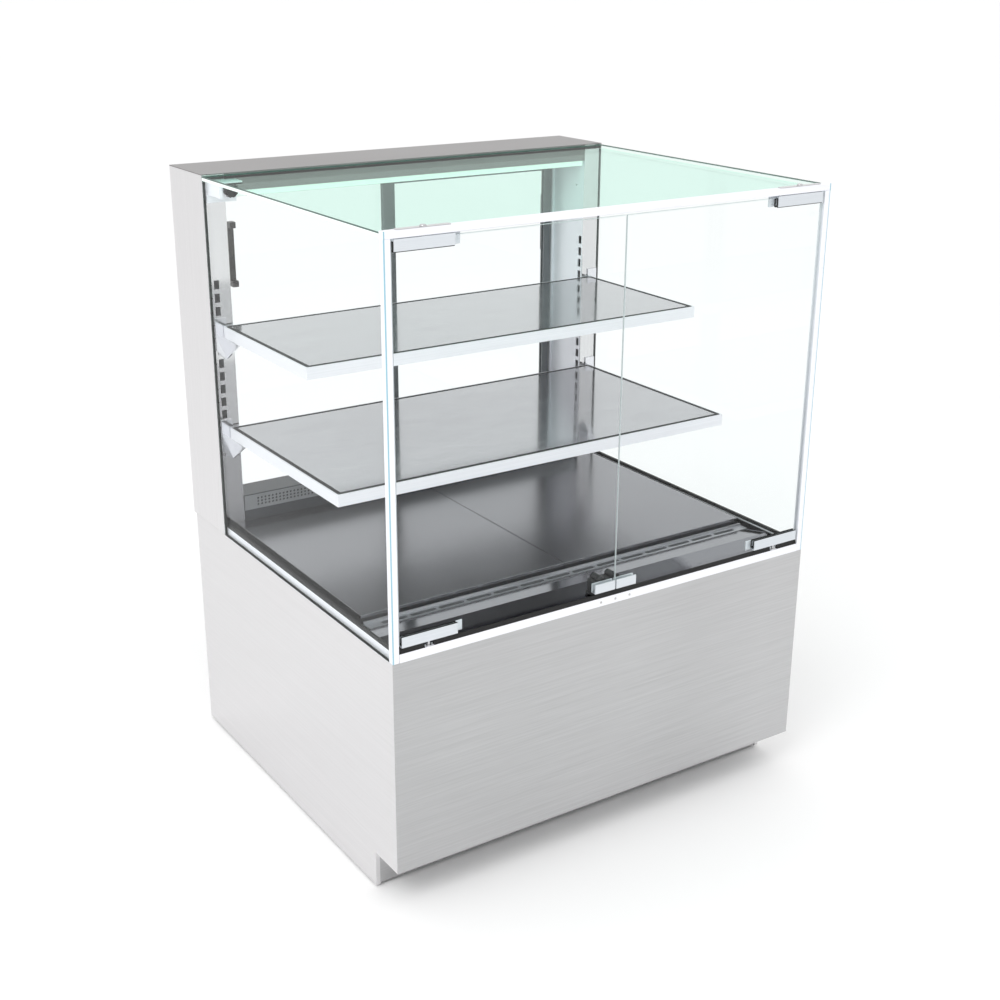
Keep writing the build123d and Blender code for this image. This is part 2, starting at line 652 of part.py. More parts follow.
def upper_pivot():
    """Cover plate and domed cap on the front frame, over the pin that guides the left door's head."""
    plate = block((-PIVOT_X - 48, -PIVOT_X + 48), (1, FRAME_DEPTH - 1), (FRAME_TOP + 0.05, FRAME_TOP + 1.2))
    plate = fillet(plate.edges().filter_by(Axis.Z), 3)
    cap = rod("Z", (-PIVOT_X, PIVOT_Y, FRAME_TOP + 2.6), 5.4, 2.8)
    cap = fillet(cap.edges().group_by(Axis.Z)[-1], 2)
    low, high = UPPER_CLIP_Z + 5, TOP_GLASS_UNDER - 0.4
    pin = rod("Z", (-PIVOT_X, PIVOT_Y, (low + high) / 2), UPPER_PIN_RADIUS, high - low)
    return [plate + cap, pin]


def lower_pivot_pin():
    """Pin that stands in the front sill and carries the left door."""
    low, high = SILL_TOP - 10, LOWER_CLIP_Z + 12
    pin = rod("Z", (-PIVOT_X, PIVOT_Y, (low + high) / 2), PIN_RADIUS, high - low)
    return pin + rod("Z", (-PIVOT_X, PIVOT_Y, SILL_TOP + 1), 5, 2)


def glass_clamp():
    """Corner clamp at the left column's head: a foot on the column, a jaw behind each glass, and a stud."""
    back = COLUMN_FRONT - 0.2
    foot = block((-450, -392), (back - 3, back), (1132, 1171))
    jaw = block((-450, -444), (back - 62, back), (1148, 1171))
    ledge = block((-450, -392), (back - 34, back), (1167, 1172.5))
    return foot + jaw + ledge + rod("Y", (CLAMP_STUD[0], back - 9.8, CLAMP_STUD[1]), 4, 16)


def clamp_knob():
    """Hand knob of the corner clamp, with finger flutes and a flat face towards the stud."""
    knob = Pos(0, 0, 5) * Cylinder(CLAMP_KNOB, 9)
    knob = chamfer(knob.edges().group_by(Axis.Z)[-1], 1.5)
    knob -= [Rot(0, 0, 45 * index) * Pos(CLAMP_KNOB + 2, 0, 5) * Cylinder(3.4, 12) for index in range(8)]
    knob = knob + Pos(0, 0, 0.4) * Cylinder(7, 1.2)
    return Pos(CLAMP_STUD[0], depth(COLUMN_FRONT - 19), CLAMP_STUD[1]) * Rot(90, 0, 0) * knob


# ---------------------------------------------------------------- front doors
def door_glass():
    """Left front pane, notched at its pivots."""
    bottom, top = LOWER_CLIP_Z + 3.5, UPPER_CLIP_Z + CLIP_HEIGHT - 3.5
    y = (PIVOT_Y - GLASS / 2, PIVOT_Y + GLASS / 2)
    pane = block((-HALF + POST + DOOR_SIDE_GAP, -DOOR_GAP / 2), y, (bottom, top))
    pane = chamfer(pane.edges().filter_by(Axis.Z), 0.8)
    x = (-PIVOT_X - 12, -PIVOT_X + 12)
    for z in ((bottom - 1, LOWER_CLIP_Z + CLIP_HEIGHT - 2), (UPPER_CLIP_Z + 2, top + 1)):
        pane -= block(x, (0, CLIP_THICKNESS), z)
    return pane


def pivot_clip(low, closed_end, pin_radius):
    """A U-shaped clip over the pane's edge, solid about its bore. closed_end is its bottom or top."""
    x = (-PIVOT_X - CLIP_LENGTH / 2, -PIVOT_X + CLIP_LENGTH / 2)
    high = low + CLIP_HEIGHT
    clip = block(x, (0, CLIP_THICKNESS), (low, high))
    clip += block((x[0], x[1] + 14), (CLIP_THICKNESS - 2.7, CLIP_THICKNESS), (low, high))
    clip = fillet(clip.edges().filter_by(Axis.X), 1.2)
    pocket = (low + 3, high + 1) if closed_end == "bottom" else (low - 1, high - 3)
    y = (PIVOT_Y - GLASS / 2 - 0.2, PIVOT_Y + GLASS / 2 + 0.2)
    clip -= block((x[0] - 1, -PIVOT_X - 11), y, pocket)
    clip -= block((-PIVOT_X + 11, x[1] + 1), y, pocket)
    mouth_side = (high - 2.5, high + 1) if closed_end == "bottom" else (low - 1, low + 2.5)
    clip -= block((-PIVOT_X - 12, -PIVOT_X + 12), y, mouth_side)
    mouth = low if closed_end == "bottom" else high
    clip -= rod("Z", (-PIVOT_X, PIVOT_Y, mouth), pin_radius + PIN_CLEARANCE, 2 * CLIP_HEIGHT - 8)
    return clip


def strike_plate():
    """Steel clip on the left door's free lower corner, held by the magnetic catch."""
    x = (-DOOR_GAP / 2 - STRIKE_LENGTH, -DOOR_GAP / 2)
    low, high = LOWER_CLIP_Z + 1, LOWER_CLIP_Z + CLIP_HEIGHT - 1
    plate = block(x, (0, CLIP_THICKNESS), (low, high))
    y = (PIVOT_Y - GLASS / 2 - 0.2, PIVOT_Y + GLASS / 2 + 0.2)
    return plate - block((x[0] - 1, x[1] + 1), y, (low + STRIKE_WALL, high + 1))


def door_clips():
    """Both pivot clips and the strike plate of the left door."""
    return [pivot_clip(LOWER_CLIP_Z, "bottom", PIN_RADIUS), pivot_clip(UPPER_CLIP_Z, "top", UPPER_PIN_RADIUS),
            strike_plate()]


def magnetic_catch():
    """Double catch behind the meeting doors: a bracket, a body and one round magnet for each door."""
    body = block((-32, 24), (20, 42), (SILL_TOP + 1, LOWER_CLIP_Z + 14))
    body = fillet(body.edges().filter_by(Axis.Y), 2)
    foot = block((-34, 34), (SILL_DEPTH + 0.5, 44), (SILL_TOP - 4, SILL_TOP + 1.5))
    magnets = [rod("Y", (x, 28, LOWER_CLIP_Z + 16), 7, 28) for x in (-19, 12)]
    return body.fuse(foot, *magnets)


# ---------------------------------------------------------------- shelves
def shelf_frame(front, top):
    """Open rectangular frame with an inner ledge for the glass and a flange along its foot."""
    low = top - SHELF_HEIGHT
    sides = (-SHELF_HALF, SHELF_HALF), (front, SHELF_BACK)

    def inner(inset, z):
        return block(*[(start + inset, end - inset) for start, end in sides], z)

    frame = inner(0, (low, top)) - inner(SHELF_WALL, (top - GLASS_SEAT, top + 1))
    frame -= inner(SHELF_WALL + SHELF_LEDGE, (low - 1, top))
    frame -= inner(SHELF_WALL, (low + 2, top - GLASS_SEAT - 2))
    return fillet(frame.edges().filter_by(Axis.Z).group_by(SortBy.LENGTH)[-1], 1.5)


def shelf_glass(front, top):
    """Black pane, flush with the frame's top."""
    edge = SHELF_WALL + 0.4
    pane = block((-SHELF_HALF + edge, SHELF_HALF - edge), (front + edge, SHELF_BACK - edge),
                 (top - GLASS_SEAT + 0.2, top))
    return chamfer(pane.edges().group_by(Axis.Z)[-1], 0.6)


def shelf_heater(front, top):
    """Heating mat under the glass and the plate that closes the frame from below."""
    inset = SHELF_WALL + SHELF_LEDGE + 1
    mat = block((-SHELF_HALF + inset, SHELF_HALF - inset), (front + inset, SHELF_BACK - inset),
                (top - GLASS_SEAT - 3, top - GLASS_SEAT - 0.2))
    low = top - SHELF_HEIGHT
    plate = block((-SHELF_HALF + 14, SHELF_HALF - 14), (front + 14, SHELF_BACK - 14), (low + 2.3, low + 3.5))
    return [mat, plate]


def shelf_bracket(top):
    """Left bracket: hooked flange on the column, gusset under the frame and a lip along its foot."""
    low, foot, back = top - SHELF_HEIGHT, top - BRACKET_DROP, COLUMN_FRONT - GAP
    x = (-SIDE_GLASS_INNER + 0.5, -HALF + 30)
    head = top + 16
    face = outline([(x[0], head), (x[1], head), (x[1], foot), (x[1] - 6, foot - 2), (x[0], foot + 18)])
    flange = along_y(face, COLUMN_FRONT - 3, back)
    behind_shelf, tip = SHELF_BACK + GAP, SHELF_BACK - BRACKET_DROP
    face = outline([(behind_shelf, low), (tip, low), (COLUMN_FRONT - 3, foot), (back, foot), (back, top - 2),
                    (behind_shelf, top - 2)])
    gusset = along_x(face, x[1] - 3, x[1])
    lip = block((-SHELF_HALF + 0.5, -SHELF_HALF + 40), (tip, back), (low - 2, low))
    return flange.fuse(gusset, lip, *[shelf_hook(z + GAP) for z in hook_slots(top)])


def shelf_hook(z):
    """Tongue through the column's front with a tooth that hangs behind it."""
    x = (-SLOT_X - HOOK_HALF, -SLOT_X + HOOK_HALF)
    tongue = block(x, (COLUMN_FRONT - 1, COLUMN_FRONT + 5), (z, z + 6))
    return tongue + block(x, (COLUMN_FRONT + 2.5, COLUMN_FRONT + 5), (z - 5, z + 6))


# ---------------------------------------------------------------- rear doors
def rear_door_span(side):
    """Left and right edges of a rear door. The meeting stiles stand side by side."""
    return (-DOOR_END, STILE) if side == "left" else (-STILE, DOOR_END)


def rear_door_frame(side):
    """Two stiles and two rails, grooved inside for the pane."""
    x, y = rear_door_span(side), REAR_GROOVES[side]
    z = (REAR_DOOR_BOTTOM, REAR_DOOR_TOP)
    through = (y - 1, y + REAR_DOOR_THICKNESS + 1)
    frame = block(x, (y, y + REAR_DOOR_THICKNESS), z)
    frame -= block((x[0] + STILE, x[1] - STILE), through, (z[0] + RAIL, z[1] - RAIL))
    middle, half = y + REAR_DOOR_THICKNESS / 2, REAR_PANE / 2 + 0.1
    groove = (middle - half, middle + half)
    frame -= block((x[0] + STILE - 8, x[1] - STILE + 8), groove, (z[0] + RAIL - 8, z[1] - RAIL + 8))
    return frame


def rear_door_glass(side):
    x, y = rear_door_span(side), REAR_GROOVES[side]
    middle = y + REAR_DOOR_THICKNESS / 2
    return block((x[0] + STILE - 7.5, x[1] - STILE + 7.5), (middle - REAR_PANE / 2, middle + REAR_PANE / 2),
                 (REAR_DOOR_BOTTOM + RAIL - 7.5, REAR_DOOR_TOP - RAIL + 7.5))


def bar_pull():
    """Upright pull on the left door's glass: a bar on two feet, reached from behind."""
    x, reach, foot = (PULL_X - 6, PULL_X + 6), 16, 12
    face = REAR_GROOVES["left"] + (REAR_DOOR_THICKNESS + REAR_PANE) / 2
    bar = block(x, (face + reach - 4, face + reach), PULL)
    feet = [block(x, (face + 0.05, face + reach - 2), (z, z + foot)) for z in (PULL[0], PULL[1] - foot)]
    return bar.fuse(*feet)


def cup_pull():
    """Shallow finger cup on the right door's stile, thin enough to pass in front of the left door."""
    x, low, high = DOOR_END - STILE / 2, *PULL
    face = REAR_GROOVES["right"] + REAR_DOOR_THICKNESS
    cup = block((x - 8, x + 8), (face + 0.05, face + 3.4), PULL)
    cup = fillet(cup.edges().filter_by(Axis.Y), 6)
    return cup - block((x - 5, x + 5), (face + 1, face + 5), (low + 10, high - 10))


# ---------------------------------------------------------------- output
def build():
    os.makedirs("parts", exist_ok=True)
    save("side_panels", pair(side_panel()))
    save("front_panel", front_panel())
    save("kick_plate", kick_plate())
    save("base_frame", base_frame())
    save("base_floor_pan", base_floor_pan())
    save("levelling_feet", levelling_feet())
    save("rear_service_panel", rear_service_panel())
    save("control_panel", control_panel())
    save("control_bezels", [*switch_bezels(), temperature_display()])
    save("cable_gland", cable_gland())
    save("cover_screws", cover_screws())
    for name, place in KNOBS.items():
        save(f"{name}_knob", control_knob(place))
    for name, place in SWITCHES.items():
        save(f"{name}_switch", rocker(place))

    save("glazing_sills", glazing_sills())
    save("glass_gaskets", glass_gaskets())
    save("deck_tray", deck_tray())
    save("front_ramp", front_ramp())
    save("front_air_grille", front_air_grille())
    save("deck_panels", deck_panels())
    save("deck_heaters", deck_heaters())
    save("insulation_slab", insulation_slab())
    save("rear_riser", rear_riser())
    save("riser_grille", riser_grille())
    save("blower_housing", blower_housing())
    save("blower_motor", blower_motor())
    save("blower_rotor", blower_rotor())

    right_slots = [z for _, top in SHELVES.values() for z in hook_slots(top)]
    save("column_covers", [column_cover(slot_heights()), mirrored(column_cover(right_slots))])
    save("column_liners", pair(column_liner()))
    save("header_cover", header_cover())
    save("light_housing", light_housing())
    save("light_lens", light_lens())
    save("lower_door_track", door_track(CAP_TOP, CAP_TOP + TRACK_HEIGHT, "low"))
    save("upper_door_track", door_track(UPPER_TRACK, CANOPY_UNDER - 0.3, "high"))

    save("side_glasses", pair(side_glass()))
    save("top_glass", top_glass())
    save("front_frame", front_frame())
    save("glass_clamp", [glass_clamp(), clamp_knob()])
    save("door_pivots", [*pair(lower_pivot_pin()), *upper_pivot(), *map(mirrored, upper_pivot())])
    save("magnetic_catch", magnetic_catch())

    save("left_front_door_glass", door_glass())
    save("right_front_door_glass", mirrored(door_glass()))
    save("left_front_door_clips", door_clips())
    save("right_front_door_clips", [mirrored(clip) for clip in door_clips()])

    for name, (front, top) in SHELVES.items():
        save(f"{name}_shelf_frame", shelf_frame(front, top))
        save(f"{name}_shelf_glass", shelf_glass(front, top))
        save(f"{name}_shelf_heater", shelf_heater(front, top))
        save(f"{name}_shelf_brackets", pair(shelf_bracket(top)))
    for side in REAR_GROOVES:
        save(f"{side}_rear_door_frame", rear_door_frame(side))
        save(f"{side}_rear_door_glass", rear_door_glass(side))
    save("left_rear_door_handle", bar_pull())
    save("right_rear_door_handle", cup_pull())


build()
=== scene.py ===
"""Heated food display case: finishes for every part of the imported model, and the small pieces that
the model leaves out, such as seals, printed dials and the lit display. Laid out as an add-on with one
operator for each group of pieces, and run as a script.
"""
import json
import math

import bmesh
import bpy
import numpy as np
from bpy.props import FloatProperty, FloatVectorProperty, PointerProperty
from mathutils import Matrix, Vector


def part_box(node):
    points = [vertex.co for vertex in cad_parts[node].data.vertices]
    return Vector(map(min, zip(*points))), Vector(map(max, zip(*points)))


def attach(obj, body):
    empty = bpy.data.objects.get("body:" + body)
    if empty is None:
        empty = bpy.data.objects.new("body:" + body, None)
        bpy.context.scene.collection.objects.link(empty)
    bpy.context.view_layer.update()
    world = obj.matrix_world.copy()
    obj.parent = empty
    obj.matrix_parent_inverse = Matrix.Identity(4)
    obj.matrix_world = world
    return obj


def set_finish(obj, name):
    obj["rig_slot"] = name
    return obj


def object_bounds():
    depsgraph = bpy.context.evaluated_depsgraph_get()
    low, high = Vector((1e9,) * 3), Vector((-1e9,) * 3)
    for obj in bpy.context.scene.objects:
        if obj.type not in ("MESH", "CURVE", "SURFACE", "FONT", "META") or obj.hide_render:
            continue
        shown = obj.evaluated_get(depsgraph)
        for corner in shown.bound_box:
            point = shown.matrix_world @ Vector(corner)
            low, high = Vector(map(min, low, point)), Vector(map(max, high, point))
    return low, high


bl_info = {
    "name": "Heated Food Display Case",
    "version": (1, 0, 0),
    "blender": (4, 5, 0),
    "location": "View3D > Sidebar > Display Case",
    "description": "Finishes and small pieces of a heated glass display case",
    "category": "Object",
}

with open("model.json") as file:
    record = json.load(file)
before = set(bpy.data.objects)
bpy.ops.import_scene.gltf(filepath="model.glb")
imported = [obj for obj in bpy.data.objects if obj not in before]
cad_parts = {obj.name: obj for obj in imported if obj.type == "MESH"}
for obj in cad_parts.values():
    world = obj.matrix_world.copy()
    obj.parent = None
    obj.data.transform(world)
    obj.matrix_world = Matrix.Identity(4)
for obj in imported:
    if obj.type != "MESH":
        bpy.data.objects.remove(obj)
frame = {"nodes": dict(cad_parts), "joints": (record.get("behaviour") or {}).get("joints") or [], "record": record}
CASE_LOW, CASE_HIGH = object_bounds()
NODES = frame["nodes"]
SLOT_OF = {part["node"]: part["material_slot"] for part in frame["record"]["subparts"]}
MM = 0.001


# ------------------------------------------------------------------ colours and node trees
def linear(code):
    """The linear colour of an sRGB hex code: the sRGB curve undone, channel by channel."""
    values = np.array([int(code[i:i + 2], 16) for i in (1, 3, 5)]) / 255
    low, high = values / 12.92, ((values + 0.055) / 1.055) ** 2.4
    return tuple(float(value) for value in np.where(values <= 0.04045, low, high))


def add(tree, kind, settings=None, **links):
    """One node with its settings, and a link or a value for each input, named in lower case."""
    made = tree.nodes.new(kind)
    for name, value in (settings or {}).items():
        setattr(made, name, value)
    for name, value in links.items():
        socket = made.inputs[int(name[1:])] if name[0] == "_" else made.inputs[name.replace("_", " ").title()]
        if isinstance(value, bpy.types.NodeSocket):
            tree.links.new(value, socket)
        else:
            socket.default_value = value
    return made


def new_material(name):
    """An empty material, its tree and its output."""
    material = bpy.data.materials.new(name)
    material.use_nodes = True
    tree = material.node_tree
    tree.nodes.clear()
    return material, tree, tree.nodes.new("ShaderNodeOutputMaterial")


def stretched(tree, size, detail=3.0, roughness=0.6):
    """Noise on object coordinates whose grains have the given size in metres along X, Y and Z."""
    place = add(tree, "ShaderNodeTexCoord").outputs["Object"]
    scale = tuple(1 / length for length in size)
    turned = add(tree, "ShaderNodeMapping", vector=place, scale=scale).outputs["Vector"]
    noise = add(tree, "ShaderNodeTexNoise", vector=turned, scale=1.0, detail=detail, roughness=roughness)
    return noise.outputs["Fac"]


def spread(tree, value, low, high, span=(0.3, 0.7)):
    """A value of noise, which lies mostly in the span, carried to the range from low to high."""
    made = add(tree, "ShaderNodeMapRange", value=value, from_min=span[0], from_max=span[1], to_min=low, to_max=high)
    return made.outputs["Result"]


def tinted(tree, colour, shade):
    """A colour times a shade that varies over the surface."""
    made = add(tree, "ShaderNodeMix", {"data_type": "RGBA", "blend_type": "MULTIPLY"})
    made.inputs["Factor"].default_value = 1.0
    made.inputs["A"].default_value = (*colour, 1)
    tree.links.new(shade, made.inputs["B"])
    return made.outputs["Result"]


def bumped(tree, height, depth):
    """A normal from a height that varies by the given depth in metres."""
    return add(tree, "ShaderNodeBump", height=height, strength=1.0, distance=depth).outputs["Normal"]


def principled(name, settings, colour=None, roughness=None, normal=None, tree_parts=None):
    """A material with one Principled shader: constants on its sockets, and links for what varies."""
    material, tree, output = tree_parts or new_material(name)
    shader = add(tree, "ShaderNodeBsdfPrincipled")
    for socket, value in settings.items():
        shader.inputs[socket].default_value = value
    for socket, link in (("Base Color", colour), ("Roughness", roughness), ("Normal", normal)):
        if link is not None:
            tree.links.new(link, shader.inputs[socket])
    tree.links.new(shader.outputs[0], output.inputs["Surface"])
    return material


# ------------------------------------------------------------------ settings
def colour_setting(name, text, code):
    return FloatVectorProperty(name=name, description=text, subtype="COLOR", size=3, min=0, max=1, default=linear(code))


def length_setting(name, text, default):
    return FloatProperty(name=name, description=text, unit="LENGTH", default=default, min=0.00001, precision=5)


def share_setting(name, text, default, highest=1.0):
    return FloatProperty(name=name, description=text, subtype="FACTOR", default=default, min=0, max=highest)


class SteelSettings(bpy.types.PropertyGroup):
    panel: colour_setting("Panel Steel", "Colour of the brushed outer panels", "#DEDDDE")
    front: colour_setting("Front Steel", "Colour of the brushed front panel", "#BFBFC0")
    canopy: colour_setting("Canopy Steel", "Colour of the canopy's sheet", "#8A8787")
    upright: colour_setting("Upright Steel", "Colour of the slotted uprights", "#F4F3F9")
    deck: colour_setting("Deck Steel", "Colour of the deck's satin plates", "#8E8E92")
    ramp: colour_setting("Ramp Steel", "Colour of the bright front ramp", "#85868B")
    slate: colour_setting("Slate Coating", "Colour of the dark ledge behind the deck", "#2A2F37")
    grain: length_setting("Brush Spacing", "Width of one brush mark", 0.0035)
    stroke: length_setting("Brush Stroke", "Length of one brush mark", 0.22)
    contrast: share_setting("Brush Contrast", "How much the brush marks change the shade", 0.09)
    roughness: share_setting("Brushed Roughness", "Roughness of the brushed panels", 0.34)


class AluminiumSettings(bpy.types.PropertyGroup):
    bright: colour_setting("Bright Anodising", "Colour of the sills, the frame and the clips", "#F4F5FA")
    shelf: colour_setting("Shelf Anodising", "Colour of the shelf frames", "#EDEDF2")
    stile: colour_setting("Dark Anodising", "Colour of the rear doors' stiles and rails", "#6C6F72")
    roughness: share_setting("Satin Roughness", "Roughness of the anodised surfaces", 0.38)


class GlassSettings(bpy.types.PropertyGroup):
    clear: colour_setting("Clear Glass", "Tint of one face of the doors and side panes", "#FEFFFF")
    top: colour_setting("Top Glass", "Tint of one face of the thicker top pane", "#EDFBF6")
    edge: colour_setting("Glass Edge", "Colour that the ground edges show", "#F5FFFB")
    # Painted light: the dark green line on the top pane's edge stands in for the green of lit glass.
    arris: colour_setting("Glass Arris", "Colour of the line along the top pane's edge", "#47605A")
    black: colour_setting("Shelf Glass", "Colour that the heated shelves' glass gives back", "#ABABAF")
    mirror: share_setting("Mirror", "How much of its real gloss the glass shows", 0.32)


class TrimSettings(bpy.types.PropertyGroup):
    rubber: colour_setting("Rubber", "Colour of the gaskets and seals", "#0C0C0D")
    plastic: colour_setting("Plastic", "Colour of the knobs, rockers and bezels", "#141416")
    print: colour_setting("Print", "Colour of the printed scales and marks", "#E9E9E4")
    digits: colour_setting("Digits", "Colour of the lit display", "#7CFFB0")
    bead: length_setting("Bead Radius", "Radius of the rubber beads round the clips", 0.0015)


class StageSettings(bpy.types.PropertyGroup):
    floor: colour_setting("Floor", "Colour of the floor", "#FAFAFA")
    sky: share_setting("Sky", "Strength of the even light from all round", 1.06, 3)
    key: FloatProperty(name="Key", description="Power of the large light", default=40, min=0, unit="POWER")
    lens: FloatProperty(name="Lens", description="Focal length in millimetres", default=52.74, min=10)


GROUPS = {
    "case_steel": SteelSettings, "case_aluminium": AluminiumSettings, "case_glass": GlassSettings,
    "case_trim": TrimSettings, "case_stage": StageSettings,
}


# ------------------------------------------------------------------ materials
def ramp(tree, axis, low, high, start, end):
    """A value that runs evenly from low to high between two places on one object axis, in metres."""
    place = add(tree, "ShaderNodeTexCoord").outputs["Object"]
    along = add(tree, "ShaderNodeSeparateXYZ", vector=place).outputs[axis]
    return spread(tree, along, low, high, (start, end))


# Only used for painted shade bands that stand in for reflections.
def banded(tree, axis, painted_band_stops):
    """A value that changes softly along one object axis; stops are pairs of a place in metres and the
    value there, in order."""
    place = add(tree, "ShaderNodeTexCoord").outputs["Object"]
    along = add(tree, "ShaderNodeSeparateXYZ", vector=place).outputs[axis]
    start, end = painted_band_stops[0][0], painted_band_stops[-1][0]
    curve = add(tree, "ShaderNodeFloatCurve", value=spread(tree, along, 0, 1, (start, end)))
    points = curve.mapping.curves[0].points
    for number, (where, value) in enumerate(painted_band_stops):
        spot = ((where - start) / (end - start), value / 2)
        if number in (0, len(painted_band_stops) - 1):
            points[-1 if number else 0].location = spot
        else:
            points.new(*spot)
    curve.mapping.update()
    return add(tree, "ShaderNodeMath", {"operation": "MULTIPLY"}, _0=curve.outputs[0], _1=2.0).outputs[0]


def times(tree, first, second):
    return add(tree, "ShaderNodeMath", {"operation": "MULTIPLY"}, _0=first, _1=second).outputs[0]


def facing_axis(tree, axis):
    """1 on the faces that look along one object axis, either way, and 0 on the others."""
    normal = add(tree, "ShaderNodeTexCoord").outputs["Normal"]
    parts = add(tree, "ShaderNodeSeparateXYZ", vector=normal)
    size = add(tree, "ShaderNodeMath", {"operation": "ABSOLUTE"}, _0=parts.outputs[axis]).outputs[0]
    return add(tree, "ShaderNodeMath", {"operation": "GREATER_THAN"}, _0=size, _1=0.5).outputs[0]


def facing_front(tree):
    """1 on the faces that look forwards, along -Y, and 0 on the others."""
    normal = add(tree, "ShaderNodeTexCoord").outputs["Normal"]
    along = add(tree, "ShaderNodeSeparateXYZ", vector=normal).outputs["Y"]
    return add(tree, "ShaderNodeMath", {"operation": "LESS_THAN"}, _0=along, _1=-0.5).outputs[0]


def brushed_stainless(name, colour, size, contrast, roughness, bands=0.0, painted_band_stops=None):
    """Brushed stainless steel, sanded with a belt: long fine marks in one direction, each catching the
    light a little differently. bands is the strength of broad soft clouds, and stops are the places and
    shades of soft bands across the width, a painted shade that stands in for the reflections of a sheet
    that is not quite flat."""
    parts = new_material(name)
    tree = parts[1]
    marks = stretched(tree, size, detail=4.0, roughness=0.7)
    shade = spread(tree, marks, 1 - contrast, 1 + contrast)
    waves = stretched(tree, (0.3, 3.0, 3.0), detail=0.0)
    shade = times(tree, shade, spread(tree, waves, 1 - bands, 1 + bands))
    # Painted shade: soft bands across the width that stand in for reflections.
    if painted_band_stops:
        shade = times(tree, shade, banded(tree, "X", painted_band_stops))
    return principled(
        name, {"Metallic": 1.0, "Anisotropic": 0.5},
        tinted(tree, colour, shade), spread(tree, marks, roughness * 0.85, roughness * 1.15),
        bumped(tree, marks, 0.00005), parts)


def polished_upright(name, colour, size, contrast):
    """Stainless upright: belt-brushed on its outer side, and polished, smoother, on the front."""
    parts = new_material(name)
    tree = parts[1]
    marks = stretched(tree, size, detail=4.0, roughness=0.7)
    shade = spread(tree, marks, 1 - contrast, 1 + contrast)
    front = facing_front(tree)
    rough = add(tree, "ShaderNodeMapRange", value=front, to_min=0.34, to_max=0.11).outputs["Result"]
    return principled(name, {"Metallic": 1.0}, tinted(tree, colour, shade), rough, None, parts)


def satin_stainless(name, colour, roughness, scale=0.15, painted_fade=None, front=1.0, metallic=1.0):
    """Stainless steel with a rolled satin finish: no direction, faint cloudy wear. fade is the axis, the
    shades and the places of an even change of shade, a painted shade that stands in for a reflection, and
    front is a painted shade on the faces that look forwards, which also stands in for a reflection."""
    parts = new_material(name)
    tree = parts[1]
    clouds = stretched(tree, (scale, scale, scale), detail=1.0)
    shade = spread(tree, clouds, 0.97, 1.03)
    # Painted shade: an even fade along one axis, standing in for a reflection.
    if painted_fade:
        shade = times(tree, shade, ramp(tree, *painted_fade))
    # Painted shade on the faces that look forwards, standing in for what they reflect.
    if front != 1.0:
        ahead = facing_front(tree)
        shade = times(tree, shade, add(tree, "ShaderNodeMapRange", value=ahead, to_min=1.0,
                                       to_max=front).outputs["Result"])
    return principled(name, {"Metallic": metallic}, tinted(tree, colour, shade),
                      spread(tree, clouds, roughness * 0.95, roughness * 1.05), None, parts)


def anodised_aluminium(name, colour, roughness, size, inset=None):
    """Anodised aluminium extrusion: an even satin with faint die lines along its length. inset is a
    second colour, its roughness, and a test that gives 1 where a piece of that colour is let in."""
    parts = new_material(name)
    tree = parts[1]
    lines = stretched(tree, size, detail=2.0)
    shade = tinted(tree, colour, spread(tree, lines, 0.96, 1.03))
    rough = spread(tree, lines, roughness * 0.9, roughness * 1.1)
    if inset:
        second, smooth, test = inset
        where = test(tree)
        shown = add(tree, "ShaderNodeMix", {"data_type": "RGBA"})
        tree.links.new(where, shown.inputs["Factor"])
        tree.links.new(shade, shown.inputs["A"])
        shown.inputs["B"].default_value = (*second, 1)
        shade = shown.outputs["Result"]
        rough = add(tree, "ShaderNodeMapRange", value=where, to_min=roughness, to_max=smooth).outputs["Result"]
    return principled(name, {"Metallic": 0.35, "Specular IOR Level": 0.5}, shade, rough,
                      bumped(tree, lines, 0.00003), parts)


def coated_steel(name, colour, roughness, metallic=0.0, grain=0.002):
    """Powder-coated or plated steel: a slight orange peel and a soft gloss."""
    parts = new_material(name)
    tree = parts[1]
    peel = stretched(tree, (grain, grain, grain), detail=1.0)
    clouds = stretched(tree, (0.05, 0.05, 0.05), detail=4.0)
    return principled(name, {"Metallic": metallic}, tinted(tree, colour, spread(tree, clouds, 0.9, 1.08)),
                      spread(tree, peel, roughness * 0.85, roughness * 1.15), bumped(tree, peel, 0.00005), parts)


def zinc_plate(name, colour):
    """Hot-dip galvanised sheet: flat crystals about 9 mm across, each a little lighter or darker."""
    parts = new_material(name)
    tree = parts[1]
    place = add(tree, "ShaderNodeTexCoord").outputs["Object"]
    crystals = add(tree, "ShaderNodeTexVoronoi", vector=place, scale=1 / 0.009)
    shade = spread(tree, crystals.outputs["Color"], 0.82, 1.1, (0, 1))
    return principled(name, {"Metallic": 0.9}, tinted(tree, colour, shade),
                      spread(tree, crystals.outputs["Color"], 0.35, 0.55, (0, 1)), None, parts)


def moulded_plastic(name, colour, roughness, grain=0.0008):
    """Moulded plastic with the fine spark-eroded grain of its tool."""
    parts = new_material(name)
    tree = parts[1]
    spark = stretched(tree, (grain, grain, grain), detail=2.0)
    wear = stretched(tree, (0.03, 0.03, 0.03), detail=4.0)
    return principled(name, {"IOR": 1.5}, tinted(tree, colour, spread(tree, wear, 0.85, 1.2)),
                      spread(tree, wear, roughness * 0.85, roughness * 1.15), bumped(tree, spark, 0.00004), parts)


def soft_rubber(name, colour):
    """Black extruded glazing rubber: matt, with faint dust along it."""
    parts = new_material(name)
    tree = parts[1]
    dust = stretched(tree, (0.02, 0.02, 0.004), detail=4.0)
    return principled(name, {"IOR": 1.52}, tinted(tree, colour, spread(tree, dust, 0.7, 2.0)),
                      spread(tree, dust, 0.55, 0.75), None, parts)


